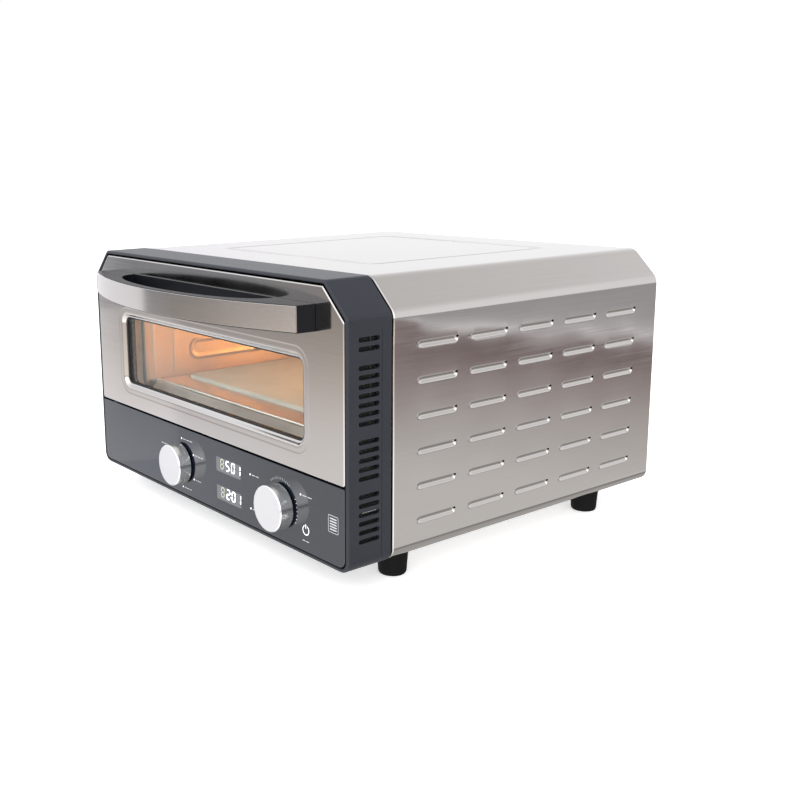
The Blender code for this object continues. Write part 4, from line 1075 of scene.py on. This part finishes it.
def figure(bm, text, x, z):
    """One seven-bar figure, sloped a little to the right."""
    wide, thick = DIGIT_HIGH * 0.52, DIGIT_HIGH * 0.065
    for lit, (way, side, level) in zip(FIGURES[text], FIGURE_BARS):
        if lit == "0":
            continue
        cx, cz = side * wide / 2, (level - 0.5) * DIGIT_HIGH
        reach = (wide if way == "h" else DIGIT_HIGH / 2) / 2 - thick * 0.45
        points = [(-reach, 0), (-reach + thick, thick), (reach - thick, thick), (reach, 0),
                  (reach - thick, -thick), (-reach + thick, -thick)]
        if way == "v":
            points = [(b, a) for a, b in points]
        mark(bm, [(x + cx + a + DIGIT_SLOPE * (cz + b), z + cz + b) for a, b in points], height=2 * MARK)


def displays():
    """Two dark windows with their lit figures."""
    for name, z in WINDOW_Z.items():
        half_u, half_v = WINDOW_WIDE / 2, WINDOW_TALL / 2
        window = (WINDOW_X - half_u, z - half_v, WINDOW_X + half_u, z + half_v)
        low, small = rect(*window, 0.0008, 4), rect(*window, 0.0007, 4, 0.0002)
        bm = stack([(low, 0.0), (low, -MARK * 0.6), (small, -MARK)], "y")
        piece(f"{name}_window", bm, "display", "oven")
        bright, dim = bmesh.new(), bmesh.new()
        for k, text in enumerate(WINDOW_TEXT[name]):
            figure(bright if k else dim, text, DIGIT_FIRST + k * DIGIT_PITCH, z + DIGIT_LIFT)
        if name == "timer":
            for level in (-0.2, 0.2):
                mark(bright, circle(DIGIT_FIRST + 1.5 * DIGIT_PITCH, z + DIGIT_LIFT + level * DIGIT_HIGH,
                                    DIGIT_HIGH * 0.07, 12), height=2 * MARK)
        piece(f"{name}_figures", bright, "digit", "oven")
        piece(f"{name}_first_figure", dim, "digit_dim", "oven")


# Cavity

CAVITY_HALF, CAVITY_LOW = LINER[1].x - SHEET, LINER[0].z + SHEET
CAVITY_HIGH, CAVITY_FRONT, CAVITY_BACK = LINER[1].z - SHEET, LINER[0].y, LINER[1].y - SHEET
CORNER_R = 0.008
RIBS_Y, RIB_HALF, RIB_RISE, RIB_LOW = (0.0405, 0.0670), 0.0017, 0.0009, 0.108
RUNNER_Y, RUNNER_Z, RUNNER_R = (0.0880, 0.3400), (0.1220, 0.1480), 0.0129
# Mesh spacing: on the flat walls upwards and along, over a rib, and over the runner's edges
WALL_Z_STEP, WALL_Y_STEP, RIB_STEP, RUNNER_STEP = 0.004, 0.012, 0.0008, 0.0012
# Holes of the back wall, round its fittings: (node, radius)
FITTING_HOLES = (("lamp_lens", 0.0130), ("temperature_probe", 0.0028))
HEATER_CLEARANCE = 0.0006


def wall_rise(y, z):
    """Relief of a side wall: two upright ribs and a long round-ended runner."""
    rise = max(0.0, *(RIB_RISE * smooth((RIB_HALF - abs(y - rib)) / RIB_HALF) for rib in RIBS_Y))
    fade = smooth((z - RIB_LOW) / 0.004) * smooth((CAVITY_HIGH - 0.010 - z) / 0.004)
    edge = inside(y, z, RUNNER_Y[0], RUNNER_Z[0], RUNNER_Y[1], RUNNER_Z[1], RUNNER_R)
    groove = smooth((edge + 0.0005) / 0.0020) * smooth((0.0055 - edge) / 0.0020)
    return max(rise * fade, RIB_RISE * groove)


def runner_ends(limits, reach):
    """Fine stretches of mesh at both edges of the runner."""
    low, high = limits
    return [(low - 0.001, low + reach, RUNNER_STEP), (high - reach, high + 0.001, RUNNER_STEP)]


def cavity():
    """The bright walls round the stone, open at the front."""
    outline = rect(-CAVITY_HALF, CAVITY_LOW, CAVITY_HALF, CAVITY_HIGH, CORNER_R, 5)
    zs = lines(CAVITY_LOW + CORNER_R, CAVITY_HIGH - CORNER_R, WALL_Z_STEP, runner_ends(RUNNER_Z, 0.013))
    ribs = [(rib - RIB_HALF, rib + RIB_HALF, RIB_STEP) for rib in RIBS_Y]
    ys = lines(CAVITY_FRONT, CAVITY_BACK, WALL_Y_STEP, ribs + runner_ends(RUNNER_Y, 0.014))
    points = []
    for here, after in zip(outline, outline[1:] + [outline[0]]):
        points.append(here)
        if abs(here[0] - after[0]) < 1e-6:
            points += subdivided(here, after, zs, 0.0003)
    bm = bmesh.new()
    loops = []
    for y in ys:
        rises = [wall_rise(y, z) if abs(abs(x) - CAVITY_HALF) < 1e-5 else 0.0 for x, z in points]
        loops.append([bm.verts.new((x - math.copysign(rise, x), y, z))
                      for rise, (x, z) in zip(rises, points)])
    for a, b in zip(loops, loops[1:]):
        bridge(bm, b, a)
    holes = [ring(bm, circle(u, v, radius, 24), "y", CAVITY_BACK) for u, v, radius in back_holes()]
    fill(bm, loops[-1], holes)
    bmesh.ops.recalc_face_normals(bm, faces=bm.faces)
    bmesh.ops.reverse_faces(bm, faces=bm.faces)
    obj = piece("cavity_walls", bm, "cavity", "oven", ("cavity_liner",), 35.0, False)
    gauge(obj, SHEET)


def back_holes():
    """The holes of the back wall for the heaters, the lamp and the probe: (x, z, radius)."""
    found = []
    for name in ("upper_heater", "lower_heater"):
        low, high = local_box(name)
        z, radius = (low.z + high.z) / 2, (high.z - low.z) / 2
        found += [(sign * (high.x - radius), z, radius + HEATER_CLEARANCE) for _, sign in SIDES]
    for name, radius in FITTING_HOLES:
        low, high = local_box(name)
        found.append(((low.x + high.x) / 2, (low.z + high.z) / 2, radius))
    return found


DECK_FRONT, DECK_FLAT_START, DECK_THICK = 0.0400, 0.0600, SHEET * 0.7
APRON_LOW, APRON_HALF, APRON_LAP, APRON_BEND = 0.0962, 0.1580, 0.0016, 0.0022
LIP_Y, LIP_HALF, LIP_RISE = 0.0436, 0.0014, 0.0017
WELL_GAP, WELL_R, WELL_SOFT, WELL_SOFT_DEEP = 0.0009, 0.0050, 0.0004, 0.0006


def apron(deck, steps=6):
    """The deck's front edge, folded down towards the mouth."""
    fall = math.atan2(deck - APRON_LOW, DECK_FRONT - TRAY[0].y)
    bend = [(DECK_FRONT - APRON_BEND * math.sin(angle), deck - APRON_BEND * (1 - math.cos(angle)))
            for angle in (fall * k / steps for k in range(steps + 1))]
    line = [(DECK_FRONT + APRON_LAP, deck), *bend, (TRAY[0].y + 0.0002, APRON_LOW + 0.0006)]
    under = [(y + DECK_THICK * math.sin(fall), z - DECK_THICK * math.cos(fall)) for y, z in line[1:]]
    outline = line + under[::-1] + [(DECK_FRONT + APRON_LAP, deck - DECK_THICK)]
    piece("deck_apron", plate(outline, [], "x", -APRON_HALF, APRON_HALF), "apron", "oven")


def tray(steps=8):
    """The deck under the stone: a rolled bead along its front, and a well."""
    x0, x1, y1, deck = TRAY[0].x, TRAY[1].x, TRAY[1].y, TRAY[1].z
    apron(deck)
    bead = [LIP_Y + LIP_HALF * (2 * k / steps - 1) for k in range(1, steps + 1)]
    bm = bmesh.new()
    loops = []
    for y in [DECK_FRONT, LIP_Y - LIP_HALF, *bead, DECK_FLAT_START]:
        t = (y - LIP_Y) / LIP_HALF
        rise = LIP_RISE * math.sqrt(max(0.0, 1 - t * t))
        loops.append([bm.verts.new((x, y, deck + rise)) for x in (x0, x1)])
    for a, b in zip(loops, loops[1:]):
        bm.faces.new((a[0], a[1], b[1], b[0]))
    outer = [*loops[-1], bm.verts.new((x1, y1, deck)), bm.verts.new((x0, y1, deck))]
    well = (STONE[0].x - WELL_GAP, STONE[0].y - WELL_GAP, STONE[1].x + WELL_GAP, STONE[1].y + WELL_GAP)
    below = rect(*well, WELL_R - WELL_SOFT, 5, WELL_SOFT)
    rim = ring(bm, rect(*well, WELL_R, 5), "z", deck)
    soft, base = (ring(bm, below, "z", z) for z in (deck - WELL_SOFT_DEEP, TRAY[0].z + SHEET))
    fill(bm, outer, [rim])
    bridge(bm, rim, soft, base)
    fill(bm, base)
    obj = piece("stone_deck", bm, "deck", "oven", ("stone_tray",))
    gauge(obj, SHEET)


STONE_CELLS, STONE_EDGE, STONE_R, STONE_FOOT = 60, 0.0022, 0.007, 0.0012
STONE_WEAR, STONE_PITS = 0.00025, 90


def stone():
    """The cordierite slab, with worn arrises and a slightly uneven face."""
    low, high = STONE
    count = STONE_CELLS
    bm = bmesh.new()

    def at(i, j, z, inset):
        """A vertex of the slab's grid, with the slab's upright corners rounded."""
        x = low.x + inset + (high.x - low.x - 2 * inset) * (i / count)
        y = low.y + inset + (high.y - low.y - 2 * inset) * (j / count)
        radius = STONE_R - inset
        cx = max(low.x + inset + radius - x, x - high.x + inset + radius, 0)
        cy = max(low.y + inset + radius - y, y - high.y + inset + radius, 0)
        reach = math.hypot(cx, cy)
        if reach > radius:
            x -= math.copysign(cx * (1 - radius / reach), x - (low.x + high.x) / 2)
            y -= math.copysign(cy * (1 - radius / reach), y - (low.y + high.y) / 2)
        wear = STONE_WEAR * noise.noise(Vector((x, y, z)) * STONE_PITS) if z > low.z + STONE_EDGE else 0.0
        return bm.verts.new((x, y, z - abs(wear)))

    top = [[at(i, j, high.z, STONE_EDGE) for j in range(count + 1)] for i in range(count + 1)]
    for i in range(count):
        for j in range(count):
            bm.faces.new((top[i][j], top[i + 1][j], top[i + 1][j + 1], top[i][j + 1]))
    border = [(i, 0) for i in range(count)] + [(count, j) for j in range(count)]
    border += [(i, count) for i in range(count, 0, -1)] + [(0, j) for j in range(count, 0, -1)]
    rings = [[top[i][j] for i, j in border]]
    for inset, z in ((STONE_EDGE * 0.45, high.z - STONE_EDGE * 0.2), (0.0, high.z - STONE_EDGE * 0.8),
                     (0.0, low.z + STONE_FOOT), (STONE_FOOT, low.z)):
        rings.append([at(i, j, z, inset) for i, j in border])
    bridge(bm, *rings)
    fill(bm, rings[-1])
    piece("baking_stone", bm, "stone", "oven", ("pizza_stone",), 50.0)


# Feet, screws and back

FOOT_PLACES = ("front_left", "front_right", "rear_left", "rear_right")
FOOT_BORE, FOOT_RECESS = 0.0026, 0.0100
FOOT_SCREW_R, REAR_SCREW_R, HANDLE_SCREW_R = 0.0040, 0.0034, 0.0040
REAR_SCREWS = [(sign * 0.205, z) for _, sign in SIDES for z in (0.020, 0.118, 0.205)]
REAR_SCREWS += [(sign * 0.085, 0.2480) for _, sign in SIDES]
HANDLE_SCREW_X, HANDLE_SCREW_Z = 0.1600, 0.2220


def feet():
    """The four rubber feet, each with a screw in its recess."""
    for name in FOOT_PLACES:
        corner, far = local_box(f"foot_{name}")
        x, y, radius = (corner.x + far.x) / 2, (corner.y + far.y) / 2, (far.x - corner.x) / 2
        low, high = corner.z, far.z
        foot = [(FOOT_BORE, high), (radius - 0.0006, high), (radius, high - 0.0006), (radius, high - 0.0040),
                (radius - 0.0004, high - 0.0046), (radius - 0.0016, low + 0.0030),
                (radius - 0.0020, low + 0.0012), (radius - 0.0032, low), (0.0068, low),
                (0.0058, low + 0.0010), (0.0054, low + FOOT_RECESS), (FOOT_BORE, low + FOOT_RECESS)]
        piece(f"foot_pad_{name}", turned(foot, "z", (x, y, 0), 56), "rubber", "oven",
              (f"foot_{name}",), 28.0)
        screw(f"foot_screw_{name}", (x, y, low + FOOT_RECESS + 0.0002), "z", -1, FOOT_SCREW_R, "oven")


def screw(name, at, axis, outwards, radius, body, steps=6):
    """A pan-head screw with a cross recess. Its head stands on the plane at the given point."""
    base, high = at["xyz".index(axis)], radius * 0.62
    profile = [(0, base + outwards * high)]
    for angle in (math.pi / 2 * k / steps for k in range(1, steps + 1)):
        profile.append((radius * math.sin(angle) ** 0.8,
                        base + outwards * (high * (0.35 + 0.65 * math.cos(angle)))))
    profile += [(radius, base), (0, base)]
    obj = piece(name, turned(profile, axis, at, 28), "zinc", body, (), 30.0)
    u, v = across(axis, at)
    arm, thick = radius * 0.58, radius * 0.13
    cross = [(arm, thick), (thick, thick), (thick, arm), (-thick, arm), (-thick, thick), (-arm, thick),
             (-arm, -thick), (-thick, -thick), (-thick, -arm), (thick, -arm), (thick, -thick), (arm, -thick)]
    start, end = base + outwards * high * 0.45, base + outwards * high * 1.5
    cut(obj, plate([(u + a, v + b) for a, b in cross], [], axis, start, end), f"{name}_recess")


def rear_screws():
    """Screws that hold the back cover and the base."""
    for k, (x, z) in enumerate(REAR_SCREWS):
        screw(f"rear_screw_{k}", (x, REAR[1].y, z), "y", 1, REAR_SCREW_R, "oven")


def handle_screws():
    """Their heads bear on the inside of the door sheet."""
    for side, sign in SIDES:
        screw(f"handle_screw_{side}", (sign * HANDLE_SCREW_X, SHEET + GAP, HANDLE_SCREW_Z), "y", 1,
              HANDLE_SCREW_R, "door")


# Stage, light and camera

CAMERA_AZIMUTH, CAMERA_ELEVATION, CAMERA_ROLL = 53.45, 11.38, -0.849
CAMERA_AT = Vector((0.8742, -0.5368, 0.3564))
LENS, SENSOR, SHIFT_X, SHIFT_Y = 46.341, 36.0, 0.1375, -0.04375
NEAR_CLIP, FAR_CLIP = 0.01, 800.0
FLOOR_RADII, FLOOR_GLOW = (0.6, 3.0, 30.0, 300.0), 0.45

# World brightness by height of direction, in front of the oven and beside it: (height, colour)
FRONT_SKY = ((-1.00, (0.85, 0.84, 0.82)), (-0.30, (0.98, 0.97, 0.96)), (-0.26, (0.90, 0.87, 0.86)),
             (-0.21, (0.68, 0.61, 0.57)), (-0.17, (0.46, 0.415, 0.375)), (-0.13, (0.37, 0.345, 0.335)),
             (-0.105, (0.28, 0.28, 0.29)), (-0.05, (0.22, 0.225, 0.24)), (-0.028, (0.38, 0.38, 0.40)),
             (-0.012, (1.06, 1.06, 1.06)), (0.10, (1.15, 1.15, 1.16)), (0.50, (1.20, 1.20, 1.20)),
             (1.00, (0.80, 0.80, 0.80)))
SIDE_SKY = ((-1.00, (0.50, 0.49, 0.48)), (-0.60, (0.52, 0.51, 0.50)), (-0.46, (0.26, 0.25, 0.25)),
            (-0.40, (0.80, 0.79, 0.78)), (-0.30, (0.78, 0.765, 0.755)), (-0.245, (0.60, 0.57, 0.56)),
            (-0.205, (0.40, 0.345, 0.34)), (-0.185, (0.25, 0.195, 0.195)), (-0.172, (0.27, 0.22, 0.22)),
            (-0.169, (1.10, 1.10, 1.12)), (-0.160, (1.10, 1.10, 1.12)), (-0.156, (0.50, 0.50, 0.51)),
            (-0.10, (0.44, 0.44, 0.45)), (-0.028, (0.60, 0.60, 0.62)), (-0.012, (1.06, 1.06, 1.08)),
            (0.40, (1.04, 1.04, 1.06)), (0.62, (0.85, 0.85, 0.86)), (0.85, (0.72, 0.715, 0.72)),
            (1.00, (0.75, 0.75, 0.75)))
# Brightness of the front by how far to the left it lies: (direction, factor)
FRONT_TURN = ((-1.00, (0.70, 0.70, 0.70)), (-0.93, (0.80, 0.80, 0.80)), (-0.90, (1.08, 1.13, 1.20)),
              (-0.84, (1.08, 1.13, 1.20)), (-0.76, (0.98, 0.98, 0.98)), (-0.65, (1.05, 1.05, 1.05)),
              (-0.33, (1.45, 1.45, 1.45)), (0.30, (1.90, 1.90, 1.90)), (1.00, (1.90, 1.90, 1.90)))
# A colour ramp holds the front's factors as shares of this
TURN_SCALE = 3.0
LEFT_WALL = (1.02, 1.01, 1.05)
LEFT_WALL_X, LEFT_WALL_Y = (-0.80, -0.85), (-0.445, -0.41)
FRONT_TO_SIDE = (-0.15, 0.25)

ABOVE_STONE = ORIGIN + Vector((0.0, 0.18, 0.194))
WHITE = (1.0, 1.0, 1.0)
# (name, place, point that it faces, size, power, colour, whether the steel mirrors it)
SOFT_LIGHTS = (
    ("top_softbox", (-0.2, -0.1, 1.9), (0, 0, 0.2), (1.8, 1.8), 26.0, WHITE, False),
    ("front_softbox", (-0.9, -1.7, 0.9), (0, 0, 0.12), (1.0, 1.0), 9.0, WHITE, False),
    ("left_card", (-0.60, -0.38, 0.025), (-0.2, -0.19, 0.05), (0.22, 0.25), 0.032, WHITE, True),
    ("cavity_fill", ABOVE_STONE, ABOVE_STONE - Vector((0, 0, 1)), (0.26, 0.26), 0.10, (1.0, 0.72, 0.42),
     False),
)
LAMP_AT, LAMP_POWER, LAMP_COLOUR, LAMP_R = Vector((0.115, 0.365, 0.162)), 1.05, (1.0, 0.54, 0.18), 0.02


def camera():
    """The view from the front right, a little above the top."""
    made = bpy.data.cameras.new("camera")
    made.lens, made.sensor_width = LENS, SENSOR
    made.shift_x, made.shift_y = SHIFT_X, SHIFT_Y
    made.clip_start, made.clip_end = NEAR_CLIP, FAR_CLIP
    azimuth, elevation, roll = (math.radians(d) for d in (CAMERA_AZIMUTH, CAMERA_ELEVATION, CAMERA_ROLL))
    back = Vector((math.sin(azimuth) * math.cos(elevation), -math.cos(azimuth) * math.cos(elevation),
                   math.sin(elevation)))
    level = Vector((math.cos(azimuth), math.sin(azimuth), 0.0))
    up = back.cross(level)
    right = level * math.cos(roll) + up * math.sin(roll)
    top = up * math.cos(roll) - level * math.sin(roll)
    obj = add_object("camera", made)
    turn = Matrix((right, top, back)).transposed().to_4x4()
    obj.matrix_world = Matrix.Translation(ORIGIN + CAMERA_AT) @ turn
    bpy.context.scene.camera = obj


def floor():
    """A pale floor out to the horizon, which the steel does not mirror."""
    bm = bmesh.new()
    rings = [ring(bm, circle(0, 0, radius, 64), "z", 0.0) for radius in FLOOR_RADII]
    bm.faces.new(rings[0])
    bridge(bm, *rings)
    obj = mesh_object("floor", bm, (0, 0, 0))
    look = Look("studio_floor", (0.93, 0.93, 0.93), 0.6, Specular_IOR_Level=0.2)
    look.tint(look.noise(3.0), (0.92, 0.92, 0.92), (0.95, 0.95, 0.95))
    look.put(Emission_Color=(1.0, 1.0, 1.0, 1.0), Emission_Strength=FLOOR_GLOW)
    obj.data.materials.append(look.material)
    obj.visible_glossy = False


def soft_light(name, at, towards, size, power, colour, mirrored):
    """A rectangular light that the camera does not see."""
    made = bpy.data.lights.new(name, "AREA")
    made.shape = "RECTANGLE"
    made.size, made.size_y = size
    made.energy, made.color = power, colour
    obj = add_object(name, made, at)
    obj.rotation_euler = (Vector(towards) - Vector(at)).to_track_quat("-Z", "Y").to_euler()
    obj.visible_glossy = mirrored
    obj.visible_camera = False


def world_ramp(tree, direction, levels):
    """Colours along one axis of the direction, which runs from -1 to 1."""
    ramp_node = add_node(tree, "ValToRGB", {"Fac": map_range(tree, direction, -1.0, 1.0)})
    elements = ramp_node.color_ramp.elements
    while len(elements) < len(levels):
        elements.new(0.5)
    for element, (level, colour) in zip(elements, levels):
        element.position = (level + 1) / 2
        element.color = (*colour, 1.0)
    return ramp_node.outputs["Color"]


def world():
    """A studio seen in the steel: darker walls low down, a bright ceiling, and a pale wall on the left."""
    made = bpy.data.worlds.new("studio")
    bpy.context.scene.world = made
    made.use_nodes = True
    tree = made.node_tree
    coords = tree.nodes.new("ShaderNodeTexCoord").outputs["Generated"]
    x, y, z = add_node(tree, "SeparateXYZ", {"Vector": coords}).outputs
    turn = world_ramp(tree, x, [(level, shaded(factor, 1 / TURN_SCALE)) for level, factor in FRONT_TURN])
    turn = calculate(tree, "SCALE", {0: turn, "Scale": TURN_SCALE}, "VectorMath")
    front = calculate(tree, "MULTIPLY", {0: world_ramp(tree, z, FRONT_SKY), 1: turn}, "VectorMath")
    colour = blend(tree, map_range(tree, y, *FRONT_TO_SIDE), front, world_ramp(tree, z, SIDE_SKY))
    leftwards = calculate(tree, "MULTIPLY", {0: map_range(tree, x, *LEFT_WALL_X),
                                             1: map_range(tree, y, *LEFT_WALL_Y)})
    tree.links.new(blend(tree, leftwards, colour, LEFT_WALL), tree.nodes["Background"].inputs["Color"])


def stage():
    """Floor, camera, studio and the oven's own lamp."""
    bpy.context.scene.view_settings.view_transform = "Standard"
    camera()
    floor()
    world()
    for light in SOFT_LIGHTS:
        soft_light(*light)
    lamp = bpy.data.lights.new("oven_lamp_glow", "POINT")
    lamp.energy, lamp.color, lamp.shadow_soft_size = LAMP_POWER, LAMP_COLOUR, LAMP_R
    add_object("oven_lamp_glow", lamp, ORIGIN + LAMP_AT)


def main():
    """Builds everything."""
    make_looks()
    dress_nodes()
    wrap()
    bezel()
    door_front()
    window_seal()
    handle()
    for name in KNOB_X:
        knob(name)
    fascia()
    seam_lip()
    printed_marks()
    displays()
    cavity()
    tray()
    stone()
    feet()
    rear_screws()
    handle_screws()
    stage()


main()
